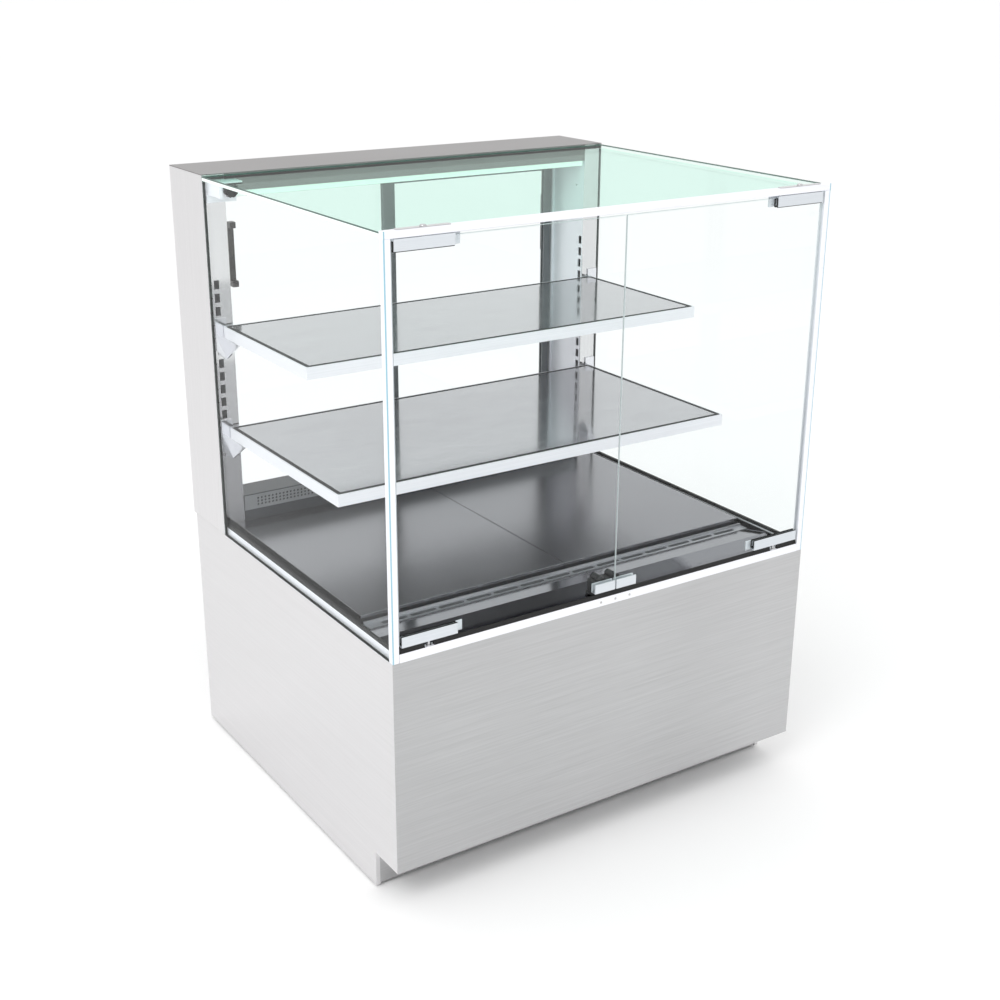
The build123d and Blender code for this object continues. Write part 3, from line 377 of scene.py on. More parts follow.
def float_glass(name, tint, edge, mirror, thin_axis, arris=None):
    """Float glass with ground edges. A thin pane doesn't bend what is behind it, so its faces are clear,
    with a mirror share that grows towards grazing. Its ground edges are pale from outside and let the
    light out from inside; arris is the colour and the height of a darker line along their top, painted
    light that stands in for the dark green that light takes on along the inside of real glass."""
    material, tree, output = new_material(name)
    smear = stretched(tree, (0.25, 0.12, 0.2), detail=5.0)
    away = add(tree, "ShaderNodeLayerWeight", blend=0.5).outputs["Facing"]
    grazing = add(tree, "ShaderNodeMath", {"operation": "POWER"}, _0=away, _1=5.0).outputs[0]
    share = add(tree, "ShaderNodeMath", {"operation": "MULTIPLY_ADD"}, _0=grazing, _1=0.96 * mirror,
                _2=0.04 * mirror).outputs[0]
    clear = add(tree, "ShaderNodeBsdfTransparent", color=(*tint, 1))
    gloss = add(tree, "ShaderNodeBsdfGlossy", color=(1, 1, 1, 1), roughness=spread(tree, smear, 0.0, 0.02))
    pane = add(tree, "ShaderNodeMixShader", _0=share, _1=clear.outputs[0], _2=gloss.outputs[0])
    ground = add(tree, "ShaderNodeBsdfPrincipled", base_color=(*edge, 1), roughness=0.3)
    # Painted light: a dark green line along the top edge, standing in for the green of lit glass.
    if arris:
        line = ramp(tree, "Z", 0, 1, arris[1] - 0.0002, arris[1])
        shown = add(tree, "ShaderNodeMix", {"data_type": "RGBA"})
        tree.links.new(line, shown.inputs["Factor"])
        shown.inputs["A"].default_value, shown.inputs["B"].default_value = (*edge, 1), (*arris[0], 1)
        tree.links.new(shown.outputs["Result"], ground.inputs["Base Color"])
    inside = add(tree, "ShaderNodeNewGeometry").outputs["Backfacing"]
    if arris:
        below = add(tree, "ShaderNodeMath", {"operation": "SUBTRACT"}, _0=1.0, _1=line)
        inside = times(tree, inside, below.outputs[0])
    through = add(tree, "ShaderNodeBsdfTransparent", color=(1, 1, 1, 1))
    rim = add(tree, "ShaderNodeMixShader", _0=inside, _1=ground.outputs[0], _2=through.outputs[0])
    face = facing_axis(tree, thin_axis)
    solid = add(tree, "ShaderNodeMixShader", _0=face, _1=rim.outputs[0], _2=pane.outputs[0])
    tree.links.new(solid.outputs[0], output.inputs["Surface"])
    return material


def black_ceramic(name, colour):
    """Black glass ceramic with a mirrored underside: it gives back most of the room at a low angle, under
    the faint haze of wiped grease."""
    parts = new_material(name)
    tree = parts[1]
    haze = stretched(tree, (0.09, 0.05, 0.05), detail=6.0)
    return principled(name, {"Metallic": 0.8, "Coat Weight": 0.5, "Coat Roughness": 0.03},
                      tinted(tree, colour, spread(tree, haze, 0.93, 1.06)),
                      spread(tree, haze, 0.06, 0.16), None, parts)


def opal_diffuser(name):
    """Opal acrylic over the canopy's lamp: milky, and gently lit from behind."""
    parts = new_material(name)
    tree = parts[1]
    milk = stretched(tree, (0.05, 0.01, 0.01), detail=2.0)
    return principled(name, {"IOR": 1.49, "Emission Strength": 0.35, "Emission Color": (*linear("#F2FFF8"), 1)},
                      tinted(tree, linear("#E7EFEB"), spread(tree, milk, 0.95, 1.0)),
                      spread(tree, milk, 0.25, 0.35), None, parts)


def mineral_wool(name):
    """Mineral fibre slab: matted pale fibres with darker pits."""
    parts = new_material(name)
    tree = parts[1]
    fibres = stretched(tree, (0.02, 0.003, 0.003), detail=6.0, roughness=0.8)
    return principled(name, {"Roughness": 0.95, "Sheen Weight": 0.2},
                      tinted(tree, linear("#E3DCCB"), spread(tree, fibres, 0.55, 1.05)), None,
                      bumped(tree, fibres, 0.001), parts)


def printed_ink(name, colour):
    """Screen-printed epoxy ink, slightly uneven."""
    parts = new_material(name)
    tree = parts[1]
    patchy = stretched(tree, (0.001, 0.001, 0.001), detail=3.0)
    return principled(name, {"IOR": 1.5}, tinted(tree, colour, spread(tree, patchy, 0.85, 1.0)),
                      spread(tree, patchy, 0.4, 0.55), None, parts)


def lit_segment(name, colour):
    """Lit segments of the display behind a smoked window."""
    return principled(name, {"Base Color": (*colour, 1), "Roughness": 0.4, "Emission Color": (*colour, 1),
                             "Emission Strength": 2.5})


def dress(slot, material):
    """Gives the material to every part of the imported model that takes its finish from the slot."""
    named = [node for node, name in SLOT_OF.items() if name == slot]
    if not named:
        raise RuntimeError(f"no part of the model takes its finish from {slot}")
    for node in named:
        dress_node(node, material)


def dress_node(node, material):
    mesh = NODES[node].data
    mesh.materials.clear()
    mesh.materials.append(material)
    NODES[node]["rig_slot"] = SLOT_OF[node]


# ------------------------------------------------------------------ surfaces
def surface(name, points, material, wrap_u=False, wrap_v=False, caps=False):
    """A mesh from a grid of points, rows by columns by XYZ. Neighbours are joined as four-sided faces.
    wrap_u joins the last row to the first, wrap_v the last column to the first, and caps closes both
    end rows with one face each."""
    rows, columns = points.shape[:2]
    index = np.arange(rows * columns).reshape(rows, columns)
    down = np.roll(index, -1, axis=0) if wrap_u else index[1:]
    upper = index if wrap_u else index[:-1]
    across = (lambda grid: np.roll(grid, -1, axis=1)) if wrap_v else (lambda grid: grid[:, 1:])
    cut = (lambda grid: grid) if wrap_v else (lambda grid: grid[:, :-1])
    faces = np.stack([cut(upper), cut(down), across(down), across(upper)], axis=-1).reshape(-1, 4).tolist()
    if caps:
        faces += [index[0].tolist(), index[-1][::-1].tolist()]
    mesh = bpy.data.meshes.new(name)
    mesh.from_pydata(points.reshape(-1, 3).tolist(), [], faces)
    mesh.materials.append(material)
    mesh.validate()
    made = bpy.data.objects.new(name, mesh)
    bpy.context.scene.collection.objects.link(made)
    outward(mesh)
    return made


def outward(mesh):
    """Turns the faces of a closed mesh outwards, after doubles are merged."""
    work = bmesh.new()
    work.from_mesh(mesh)
    bmesh.ops.remove_doubles(work, verts=work.verts, dist=1e-7)
    bmesh.ops.recalc_face_normals(work, faces=work.faces)
    work.to_mesh(mesh)
    work.free()


def joined(name, pieces):
    """Several pieces as one object."""
    with bpy.context.temp_override(active_object=pieces[0], selected_editable_objects=pieces):
        bpy.ops.object.join()
    pieces[0].name = name
    return pieces[0]


def carried(path, side, up, profile):
    """A flat profile carried along a path: each point is the path's point, plus the profile's first
    number along side and its second along up. Returns path by profile by XYZ."""
    return path[:, None] + profile[None, :, :1] * side[:, None] + profile[None, :, 1:] * up[:, None]


def half_round(radius, count=9):
    """Half a circle, closed by its flat side: the angle runs evenly from 0 to a half turn."""
    angle = np.linspace(0, math.pi, count)
    return radius * np.stack([np.cos(angle), np.sin(angle)], axis=-1)


def rounded_rectangle(low, high, radius, count=7):
    """Points and outward directions round a rectangle whose corners are quarter circles."""
    low, high = np.array(low, float), np.array(high, float)
    turn = np.arange(4)[:, None] * math.pi / 2 + np.linspace(0, math.pi / 2, count)[None]
    outward_way = np.stack([np.cos(turn), np.sin(turn)], axis=-1)
    right, top = np.array([1, 0, 0, 1]), np.array([1, 1, 0, 0])
    centre = np.stack([np.where(right, high[0] - radius, low[0] + radius),
                       np.where(top, high[1] - radius, low[1] + radius)], axis=-1)
    return (centre[:, None] + radius * outward_way).reshape(-1, 2), outward_way.reshape(-1, 2)


# ------------------------------------------------------------------ operators
class CaseOperator(bpy.types.Operator):
    """Shared base: registers its changes with undo"""
    bl_options = {"REGISTER", "UNDO"}


class CASE_OT_stage(CaseOperator):
    """Add the floor, the lights and the camera"""
    bl_idname = "display_case.stage"
    bl_label = "Stage"

    def execute(self, context):
        settings = context.scene.case_stage
        context.scene.view_settings.view_transform = "Standard"
        self.floor(settings)
        self.sky(context, settings)
        self.key(context, settings)
        self.camera(context, settings)
        return {"FINISHED"}

    def floor(self, settings):
        """A flat square, far larger than the case."""
        reach = 90.0
        axis = np.linspace(-reach, reach, 3)
        across, along = np.meshgrid(axis, axis, indexing="ij")
        points = np.stack([across, along, np.full_like(across, CASE_LOW.z)], axis=-1)
        parts = new_material("matt_studio_floor")
        cloud = stretched(parts[1], (1.5, 1.5, 1.5), detail=1.0)
        paint = principled("matt_studio_floor", {"Roughness": 0.9, "Specular IOR Level": 0.1},
                           tinted(parts[1], tuple(settings.floor), spread(parts[1], cloud, 0.99, 1.0)),
                           None, None, parts)
        surface("studio_floor", points, paint)

    def sky(self, context, settings):
        """Even light from all round, a little brighter from the left than from the right."""
        world = bpy.data.worlds.new("studio_sky")
        world.use_nodes = True
        tree = world.node_tree
        tree.nodes.clear()
        way = add(tree, "ShaderNodeTexCoord").outputs["Generated"]
        parts = add(tree, "ShaderNodeSeparateXYZ", vector=way)
        left = spread(tree, parts.outputs["X"], 1.05, 0.95, (-1, 1))
        light = add(tree, "ShaderNodeMath", {"operation": "MULTIPLY"}, _0=left, _1=settings.sky).outputs[0]
        shader = add(tree, "ShaderNodeBackground", color=(1, 1, 1, 1), strength=light)
        output = tree.nodes.new("ShaderNodeOutputWorld")
        tree.links.new(shader.outputs[0], output.inputs["Surface"])
        context.scene.world = world

    def key(self, context, settings):
        """One large soft lamp, above and to the left of the case's front."""
        lamp = bpy.data.lights.new("key_light", "AREA")
        lamp.energy, lamp.shape, lamp.size = settings.key, "DISK", 2.2
        made = bpy.data.objects.new("key_light", lamp)
        made.location = (-2.6, -1.8, 3.4)
        aim = Vector((0, 0, 0.6)) - made.location
        made.rotation_euler = aim.to_track_quat("-Z", "Y").to_euler()
        context.scene.collection.objects.link(made)

    def camera(self, context, settings):
        """Eye-level view onto the left front corner, looking down on the top glass."""
        yaw, pitch, roll = (math.radians(angle) for angle in (33.52, 20.54, 0.29))
        forward = Vector((math.sin(yaw) * math.cos(pitch), math.cos(yaw) * math.cos(pitch), -math.sin(pitch)))
        level = Vector((math.cos(yaw), -math.sin(yaw), 0))
        upright = level.cross(forward)
        right = level * math.cos(roll) + upright * math.sin(roll)
        up = upright * math.cos(roll) - level * math.sin(roll)
        lens = bpy.data.cameras.new("case_camera")
        lens.lens, lens.sensor_width = settings.lens, 36
        made = bpy.data.objects.new("case_camera", lens)
        turn = Matrix((right, up, -forward)).transposed().to_4x4()
        made.matrix_world = Matrix.Translation((-1.4962, -2.2998, 1.5684)) @ turn
        context.scene.collection.objects.link(made)
        context.scene.camera = made


class CASE_OT_panels(CaseOperator):
    """Finish the base, the uprights and the canopy in brushed steel"""
    bl_idname = "display_case.panels"
    bl_label = "Steel Panels"
    def execute(self, context):
        steel = context.scene.case_steel
        grain, stroke, contrast, rough = steel.grain, steel.stroke, steel.contrast, steel.roughness
        low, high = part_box("column_covers")
        panel, wide = tuple(steel.panel), (stroke, grain, grain)
        across = brushed_stainless("brushed_stainless_along_width", tuple(steel.front), wide, contrast * 0.9,
                                   rough, 0.04)
        back = brushed_stainless("brushed_stainless_back", panel, wide, contrast * 0.6, rough, 0.03)
        deep = brushed_stainless("brushed_stainless_along_depth", panel, (grain, stroke, grain),
                                 contrast * 0.4, rough)
        upright = (grain, grain, stroke)
        tall = polished_upright("polished_stainless_upright", panel, upright, contrast * 0.3)
        inner = satin_stainless("pale_satin_liner", tuple(steel.upright), 0.3, 0.3, metallic=0.12)
        canopy = satin_stainless("satin_stainless_canopy", tuple(steel.canopy), rough, 0.3)
        dress("brushed_panel", deep)
        for node in ("front_panel", "kick_plate"):
            dress_node(node, across)
        dress_node("column_covers", tall)
        dress("column_inner", inner)
        dress("canopy_steel", canopy)
        dress("back_panel", back)
        return {"FINISHED"}


class CASE_OT_deck(CaseOperator):
    """Finish the heated deck, the ramp, the air grilles and the dark ledge"""
    bl_idname = "display_case.deck"
    bl_label = "Deck"

    def execute(self, context):
        steel = context.scene.case_steel
        dress("deck_steel", satin_stainless("satin_stainless_deck", tuple(steel.deck), 0.22, 0.2))
        dress("polished_steel", satin_stainless("bright_stainless_ramp", tuple(steel.ramp), 0.1))
        dress_node("front_air_grille", satin_stainless("satin_stainless_grille", linear("#A9AAAF"), 0.3,
                                                       metallic=0.7))
        dress("tray_steel", satin_stainless("satin_stainless_tray", linear("#3C3C40"), 0.35))
        dress("dark_steel", coated_steel("slate_coated_steel", tuple(steel.slate), 0.4))
        dress("grille_steel", coated_steel("perforated_steel", linear("#A9ACAF"), 0.35, 0.6))
        return {"FINISHED"}


class CASE_OT_inside(CaseOperator):
    """Finish the pieces inside the base: frame, pan, feet, heaters, blower and insulation"""
    bl_idname = "display_case.inside"
    bl_label = "Inner Pieces"

    def execute(self, context):
        dress("zinc_steel", zinc_plate("galvanised_sheet", linear("#B9BDBF")))
        dress("heater_tube", coated_steel("oxidised_heater_tube", linear("#5A554F"), 0.55, 0.6))
        dress("heater_plate", satin_stainless("closing_plate_steel", linear("#BFC0C2"), 0.3))
        dress("insulation", mineral_wool("mineral_wool_slab"))
        dress("motor_steel", coated_steel("black_enamelled_motor", linear("#26272A"), 0.4))
        dress("blower_plastic", moulded_plastic("glass_filled_nylon_wheel", linear("#3A3B3C"), 0.55))
        dress("screw_steel", satin_stainless("zinc_plated_screws", linear("#C9C9C7"), 0.25, 0.004))
        dress("bracket_steel", satin_stainless("bright_steel_brackets", linear("#E8E8EC"), 0.16))
        return {"FINISHED"}


class CASE_OT_trim(CaseOperator):
    """Finish the aluminium frame, sills, clips, tracks and shelf frames"""
    bl_idname = "display_case.trim"
    bl_label = "Aluminium Trim"

    def execute(self, context):
        metal = context.scene.case_aluminium
        rough = metal.roughness
        lines = (0.3, 0.0012, 0.0012)
        dress("satin_aluminium", anodised_aluminium("bright_anodised_trim", tuple(metal.bright), rough, lines))
        bright, knob = tuple(metal.bright), linear("#0B0B0C")
        dress_node("glass_clamp", anodised_aluminium("anodised_clamp_and_black_knob", bright, rough, lines,
                                                     (knob, 0.35, self.is_knob)))
        # Cyan line on the posts: painted light standing in for the glow of a glass edge.
        line = linear("#6FB4C8")
        dress_node("front_frame", anodised_aluminium("anodised_frame_with_painted_edge_light", bright, rough, lines,
                                                     (line, 0.3, self.is_edge_seal)))
        dress("clip_aluminium", anodised_aluminium("bright_anodised_clips", linear("#D6DBE0"), rough, lines))
        dress("shelf_aluminium", anodised_aluminium("anodised_shelf_frame", tuple(metal.shelf), rough, lines))
        dress("stile_aluminium", anodised_aluminium("dark_anodised_stiles", tuple(metal.stile), rough,
                                                    (0.0012, 0.0012, 0.3)))
        dress("pivot_steel", satin_stainless("polished_pivot_pins", linear("#C2C2C4"), 0.12))
        return {"FINISHED"}

    def is_knob(self, tree):
        """The clamp's hand knob stands in front of its stud, clear of the jaw beside the side pane."""
        low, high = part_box("glass_clamp")
        front = high.y - 17.6 * MM
        ahead = ramp(tree, "Y", 1, 0, front - 0.1 * MM, front)
        beside = ramp(tree, "X", 0, 1, low.x + 8 * MM, low.x + 9 * MM)
        below = ramp(tree, "Z", 1, 0, high.z - 2.8 * MM, high.z - 2.6 * MM)
        return times(tree, times(tree, ahead, beside), below)

    def is_edge_seal(self, tree):
        """A cyan line up the outer edge of each post, 2.4 mm wide: painted light standing in for the glow of a glass
        edge.
        """
        place = add(tree, "ShaderNodeTexCoord").outputs["Object"]
        across = add(tree, "ShaderNodeSeparateXYZ", vector=place).outputs["X"]
        out = add(tree, "ShaderNodeMath", {"operation": "ABSOLUTE"}, _0=across).outputs[0]
        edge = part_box("front_frame")[1].x - 2.4 * MM
        outer = spread(tree, out, 0, 1, (edge, edge + 0.2 * MM))
        return times(tree, outer, times(tree, facing_axis(tree, "Y"), 0.8))


class CASE_OT_glazing(CaseOperator):
    """Finish the panes, the black shelf glass and the lamp's opal cover"""
    bl_idname = "display_case.glazing"
    bl_label = "Glazing"

    def execute(self, context):
        glass = context.scene.case_glass
        clear, edge, mirror = tuple(glass.clear), tuple(glass.edge), glass.mirror
        # The top pane's edge line is painted light, standing in for the green of lit glass edges.
        line = (tuple(glass.arris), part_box("top_glass")[1].z - 2.6 * MM)
        dress("side_glass", float_glass("float_glass_sides", clear, edge, mirror, "X"))
        dress("top_glass", float_glass("float_glass_top", tuple(glass.top), edge, mirror * 0.6, "Z", line))
        dress("door_glass", float_glass("float_glass_front_doors", clear, linear("#DDE3E4"), mirror, "Y"))
        dress("rear_glass", float_glass("float_glass_rear_doors", clear, edge, mirror, "Y"))
        dress("black_glass", black_ceramic("black_glass_ceramic", tuple(glass.black)))
        dress("opal_lens", opal_diffuser("opal_acrylic_diffuser"))
        return {"FINISHED"}


class CASE_OT_plastics(CaseOperator):
    """Finish the knobs, rockers, bezels, pulls and rubber gaskets"""
    bl_idname = "display_case.plastics"
    bl_label = "Plastics and Rubber"

    def execute(self, context):
        trim = context.scene.case_trim
        dress("black_plastic", moulded_plastic("moulded_black_nylon", tuple(trim.plastic), 0.5))
        dress("knob_plastic", moulded_plastic("moulded_phenolic_knobs", tuple(trim.plastic), 0.28, 0.0005))
        dress("rocker_plastic", moulded_plastic("moulded_rockers", tuple(trim.plastic), 0.22, 0.0005))
        dress("pull_plastic", moulded_plastic("moulded_brown_pulls", linear("#2A211C"), 0.4))
        dress("black_gasket", soft_rubber("extruded_glazing_rubber", tuple(trim.rubber)))
        return {"FINISHED"}


class CASE_OT_clip_beads(CaseOperator):
    """Add the rubber beads between the front doors' clips and their glass"""
    bl_idname = "display_case.clip_beads"
    bl_label = "Clip Beads"

    def execute(self, context):
        trim = context.scene.case_trim
        rubber = soft_rubber("clip_bead_rubber", tuple(trim.rubber))
        for side in ("left", "right"):
            made = self.beads(side, trim.bead, rubber)
            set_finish(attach(made, f"{side}_front_door"), "black_gasket")
        return {"FINISHED"}

    def beads(self, side, radius, rubber):
        """One bead round each clip, on both faces of the pane."""
        glass_low, glass_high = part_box(f"{side}_front_door_glass")
        clips_low, clips_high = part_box(f"{side}_front_door_clips")
        length, height, inset = 0.107, 0.019, 0.0001
        outer_left = side == "left"
        start = clips_low.x if outer_left else clips_high.x - length
        pieces = []
        for number, (low, high) in enumerate(((clips_low.z, clips_low.z + height),
                                              (clips_high.z - height, clips_high.z))):
            for face, sign in ((glass_low.y, -1), (glass_high.y, 1)):
                box = ((start - inset, max(low, glass_low.z + radius)),
                       (start + length + inset, min(high, glass_high.z - radius)))
                pieces.append(self.ring(f"bead_{number}_{sign}", box, face, sign, radius, rubber))
        return joined(f"{side}_clip_beads", pieces)

    def ring(self, name, box, face, sign, radius, rubber):
        """A half-round bead carried round the clip's outline, its flat side on the glass."""
        line, way = rounded_rectangle(*box, 0.0015)
        path = np.stack([line[:, 0], np.full(len(line), face + sign * 0.00005), line[:, 1]], axis=-1)
        side = np.stack([way[:, 0], np.zeros(len(way)), way[:, 1]], axis=-1)
        up = np.tile([0.0, sign, 0.0], (len(line), 1))
        return surface(name, carried(path, side, up, half_round(radius)), rubber, wrap_u=True, wrap_v=True)


class CASE_OT_shelf_seals(CaseOperator):
    """Add the black sealant between each shelf's glass and its frame, in a band wide enough to be partly a painted
    shadow along the frame's inner edge
    """
    bl_idname = "display_case.shelf_seals"
    bl_label = "Shelf Seals"

    def execute(self, context):
        sealant_and_shadow = soft_rubber("black_sealant_and_painted_shadow", tuple(context.scene.case_trim.rubber))
        for name in ("upper", "lower"):
            low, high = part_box(f"{name}_shelf_glass")
            # The band is wider than a sealant bead: partly sealant, partly painted shadow along the frame.
            inset = 0.0038
            line, way = rounded_rectangle((low.x + inset, low.y + inset), (high.x - inset, high.y - inset), 0.004)
            path = np.column_stack([line, np.full(len(line), high.z + 0.00002)])
            side = np.column_stack([way, np.zeros(len(way))])
            up = np.tile([0.0, 0.0, 1.0], (len(line), 1))
            profile = half_round(0.0042) * np.array([1.0, 0.13])
            made = surface(f"{name}_shelf_seal", carried(path, side, up, profile), sealant_and_shadow, wrap_u=True, wrap_v=True)
            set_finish(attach(made, f"{name}_shelf"), "black_gasket")
        return {"FINISHED"}


class CASE_OT_sill_seal(CaseOperator):
    """Add the black rubber strip on the front sill, under the doors, cut away at their pins; it also fills the gap
    under the doors as a painted shadow
    """
    bl_idname = "display_case.sill_seal"
    bl_label = "Sill Seal"
    height = 7.0 * MM
    clear = 9.0 * MM

    def execute(self, context):
        low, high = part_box("glazing_sills")
        pins = [joint["pos_m"][0] for joint in frame["joints"] if "front_door_pivot" in joint["name"]]
        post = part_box("front_frame")[1].x - 13.5 * MM
        ends = [-post] + [pin + way * self.clear for pin in sorted(pins) for way in (-1, 1)] + [post]
        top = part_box("left_front_door_clips")[0].z - 10 * MM
        # The strip is partly a rubber seal and partly a painted shadow in the gap under the doors.
        rubber = soft_rubber("sill_rubber_and_painted_shadow", tuple(context.scene.case_trim.rubber))
        pieces = [self.strip(f"sill_strip_{number}", span, low.y + 5.5 * MM, top, rubber)
                  for number, span in enumerate(zip(ends[::2], ends[1::2]))]
        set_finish(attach(joined("sill_seal", pieces), "case"), "black_gasket")
        return {"FINISHED"}

    def strip(self, name, span, y, foot, rubber):
        """One length of the strip: a foot 8 mm wide whose sides curve in to a lip, as the cube of the
        height left, carried along X."""
        rise = np.linspace(0, 1, 7)
        half = (1.2 + 2.8 * (1 - rise) ** 3) * MM
        level = foot + rise * self.height
        line = np.concatenate([np.stack([half, level], -1), np.stack([-half, level], -1)[::-1]])
        rows = [np.column_stack([np.full(len(line), x), y + line[:, 0], line[:, 1]])
                for x in np.linspace(*span, 9)]
        return surface(name, np.stack(rows), rubber, wrap_v=True, caps=True)


class CASE_OT_dials(CaseOperator):
    """Add the printed scales round the knobs, the knobs' pointers and the rockers' marks"""
    bl_idname = "display_case.dials"
    bl_label = "Dials and Marks"
    sweep = math.radians(270)
    steps = 9
    film = 0.0001

    def execute(self, context):
        ink = printed_ink("screen_printed_ink", tuple(context.scene.case_trim.print))
        dark = printed_ink("screen_printed_dark_ink", linear("#1A1A1C"))
        scales = []
        for name in ("deck", "lower_shelf", "upper_shelf"):
            low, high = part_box(f"{name}_knob")
            centre = (low + high) / 2
            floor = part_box("control_bezels")[0].y
            scales.append(self.ticks(name, centre.x, centre.z, floor, dark))
            scales += self.numbers(centre.x, centre.z, floor, dark)
            pointer = self.strip(f"{name}_knob_pointer", centre.x, centre.z, high.y, ink)
            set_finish(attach(pointer, f"{name}_knob"), "knob_plastic")
        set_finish(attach(joined("dial_scales", scales), "case"), "knob_plastic")
        for name in ("light", "power"):
            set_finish(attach(self.marks(name, ink), f"{name}_switch"), "rocker_plastic")
        return {"FINISHED"}

    def ticks(self, name, x, z, floor, ink):
        """Ring sectors: the angle runs clockwise seen from behind, and each tick is a thin four-sided
        strip between two radii, laid on the pocket's floor."""
        angle = np.repeat(np.linspace(0, self.sweep, 4 * (self.steps - 1) + 1), 2)
        length = np.where(np.arange(len(angle)) // 2 % 4 == 0, 0.0034, 0.0018)
        inner = 0.0232
        radius = np.stack([np.full(len(angle), inner), inner + length], axis=-1)
        half = np.tile([-0.00035, 0.00035], len(angle) // 2)[:, None]
        across = np.stack([-np.sin(angle), np.cos(angle)], axis=-1)
        along = np.stack([-np.cos(angle), -np.sin(angle)], axis=-1)
        flat = radius[..., None] * across[:, None] + half[..., None] * along[:, None]
        place = np.stack([x + flat[..., 0], np.full(radius.shape, floor + self.film), z + flat[..., 1]], axis=-1)
        strips = place.reshape(-1, 2, 2, 3)
        points = strips.reshape(-1, 3)
        quads = np.arange(len(points)).reshape(-1, 4)[:, [0, 1, 3, 2]]
        mesh = bpy.data.meshes.new(f"{name}_ticks")
        mesh.from_pydata(points.tolist(), [], quads.tolist())
        mesh.materials.append(ink)
        made = bpy.data.objects.new(f"{name}_ticks", mesh)
        bpy.context.scene.collection.objects.link(made)
        return made

    def numbers(self, x, z, floor, ink):
        """Plain numerals from 0 to 8 outside the ticks."""
        made = []
        for step in range(self.steps):
            angle = self.sweep * step / (self.steps - 1)
            place = (x - 0.0305 * math.sin(angle), floor + self.film, z + 0.0305 * math.cos(angle))
            made.append(text_mesh(str(step), 0.0062, place, ink))
        return made

    def strip(self, name, x, z, front, ink):
        """A thin raised bar on the upper half of the knob's grip."""
        return slab(name, (x - 0.0008, x + 0.0008), (front, front + 0.0002), (z + 0.004, z + 0.0145), ink)

    def marks(self, name, ink):
        """A bar on the upper face of the rocker and a ring on its lower face. Both follow the shallow V:
        height above the axis is 3.2 mm plus 1.4 mm at its ends, turned by the rocker's tilt."""
        low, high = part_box(f"{name}_switch")
        centre = (low + high) / 2
        axis = next(joint for joint in frame["joints"] if joint["child"] == f"{name}_switch")["pos_m"]
        angle = np.linspace(0, 2 * math.pi, 25)
        ring = np.stack([np.outer([0.0019, 0.0027], np.cos(angle)), np.outer([0.0019, 0.0027], np.sin(angle)) + 0.0065],
                        axis=-1)
        bar = np.array([[[-0.0005, -0.009], [0.0005, -0.009]], [[-0.0005, -0.004], [0.0005, -0.004]]])
        made = []
        for label, flat in (("ring", ring), ("bar", bar)):
            along = flat[..., 1]
            rise = (3.2 + 1.4 * np.abs(along) / (12.5 * MM)) * MM + self.film
            tilt = math.radians(9)
            points = np.stack([centre.x + flat[..., 0], axis[1] + rise * math.cos(tilt) + along * math.sin(tilt),
                               axis[2] + rise * math.sin(tilt) - along * math.cos(tilt)], axis=-1)
            made.append(surface(f"{name}_{label}", points, ink))
        return joined(f"{name}_switch_marks", made)


def slab(name, x, y, z, material):
    """A thin plate with rounded corners in X and Z: rounded rectangles at its back and front, closed."""
    line, _ = rounded_rectangle((x[0], z[0]), (x[1], z[1]), min(x[1] - x[0], z[1] - z[0]) * 0.3, 4)
    rows = [np.column_stack([line[:, 0], np.full(len(line), level), line[:, 1]]) for level in y]
    return surface(name, np.stack(rows), material, wrap_v=True, caps=True)


def text_mesh(words, height, place, material):
    """Flat characters seen from behind the case, made a mesh and then put in place."""
    curve = bpy.data.curves.new("numeral", "FONT")
    curve.body, curve.size, curve.align_x, curve.align_y = words, height, "CENTER", "CENTER"
    curve.resolution_u = 4
    source = bpy.data.objects.new("numeral", curve)
    bpy.context.scene.collection.objects.link(source)
    mesh = bpy.data.meshes.new_from_object(source)
    bpy.data.objects.remove(source)
    turn = Matrix(((-1, 0, 0, place[0]), (0, 0, 1, place[1]), (0, 1, 0, place[2]), (0, 0, 0, 1)))
    mesh.transform(turn)
    mesh.materials.clear()
    mesh.materials.append(material)
    made = bpy.data.objects.new(f"numeral_{words}", mesh)
    bpy.context.scene.collection.objects.link(made)
    return made


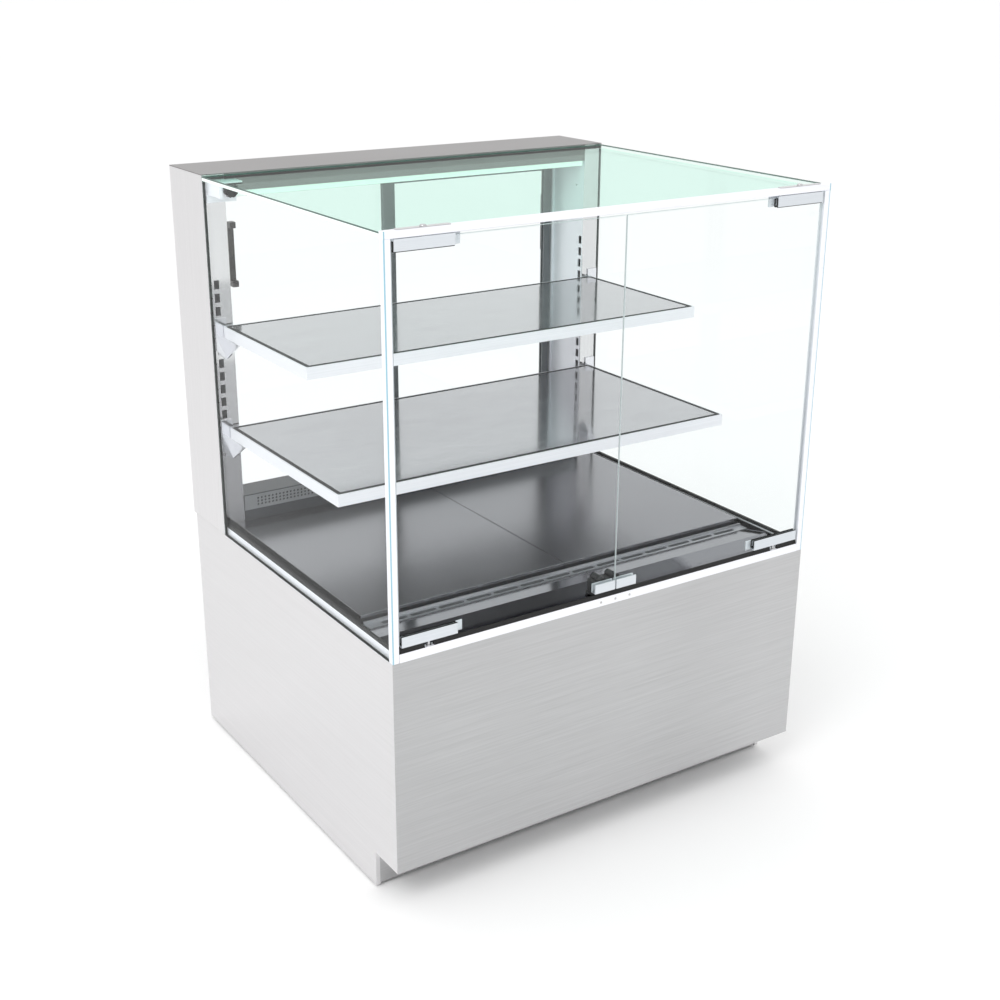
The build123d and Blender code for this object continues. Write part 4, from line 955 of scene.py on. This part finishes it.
class CASE_OT_display(CaseOperator):
    """Add the lit figures of the temperature display"""
    bl_idname = "display_case.display"
    bl_label = "Display"

    def execute(self, context):
        low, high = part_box("control_bezels")
        lit = lit_segment("lit_display_segments", tuple(context.scene.case_trim.digits))
        middle = (0.095, (low.z + high.z) / 2)
        face = low.y + 0.0042
        pieces = []
        for column, shown in enumerate(("acdefg", "acdfg")):
            x = middle[0] + 0.008 - 0.016 * column
            pieces += [self.segment(part, x, middle[1], face, lit) for part in shown]
        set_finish(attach(joined("display_figures", pieces), "case"), "rocker_plastic")
        return {"FINISHED"}

    def segment(self, part, x, z, face, lit):
        """One bar of a seven-part figure: a six-sided outline, pointed at both ends, 5.4 mm long."""
        offset, upright = {
            "a": ((0, 0.0062), 0), "g": ((0, 0), 0), "d": ((0, -0.0062), 0), "f": ((0.0031, 0.0031), 1),
            "b": ((-0.0031, 0.0031), 1), "e": ((0.0031, -0.0031), 1), "c": ((-0.0031, -0.0031), 1),
        }[part]
        reach, half = 0.0027, 0.0006
        outline = np.array([[-reach, 0], [half - reach, half], [reach - half, half], [reach, 0],
                            [reach - half, -half], [half - reach, -half]])
        outline = outline[:, ::-1] if upright else outline
        flat = outline + np.array(offset)
        rows = [np.column_stack([x + flat[:, 0], np.full(6, level), z + flat[:, 1]]) for level in (face, face + 0.0003)]
        return surface(f"segment_{part}", np.stack(rows), lit, wrap_v=True, caps=True)


class CASE_PT_sidebar(bpy.types.Panel):
    """Lists the operators in the order they run"""
    bl_idname = "CASE_PT_sidebar"
    bl_label = "Display Case"
    bl_space_type = "VIEW_3D"
    bl_region_type = "UI"
    bl_category = "Display Case"

    def draw(self, context):
        for operator in OPERATORS:
            self.layout.operator(operator.bl_idname)
        for group, settings in GROUPS.items():
            box = self.layout.box()
            for name in settings.__annotations__:
                box.prop(getattr(context.scene, group), name)


OPERATORS = (
    CASE_OT_stage, CASE_OT_panels, CASE_OT_deck, CASE_OT_inside, CASE_OT_trim, CASE_OT_glazing,
    CASE_OT_plastics, CASE_OT_clip_beads, CASE_OT_shelf_seals, CASE_OT_sill_seal, CASE_OT_dials,
    CASE_OT_display,
)
CLASSES = (*GROUPS.values(), *OPERATORS, CASE_PT_sidebar)


def register():
    for item in CLASSES:
        bpy.utils.register_class(item)
    for name, settings in GROUPS.items():
        setattr(bpy.types.Scene, name, PointerProperty(type=settings))


def unregister():
    for name in GROUPS:
        delattr(bpy.types.Scene, name)
    for item in reversed(CLASSES):
        bpy.utils.unregister_class(item)


def main():
    register()
    for operator in OPERATORS:
        family, name = operator.bl_idname.split(".")
        getattr(getattr(bpy.ops, family), name)()


if __name__ == "__main__":
    main()
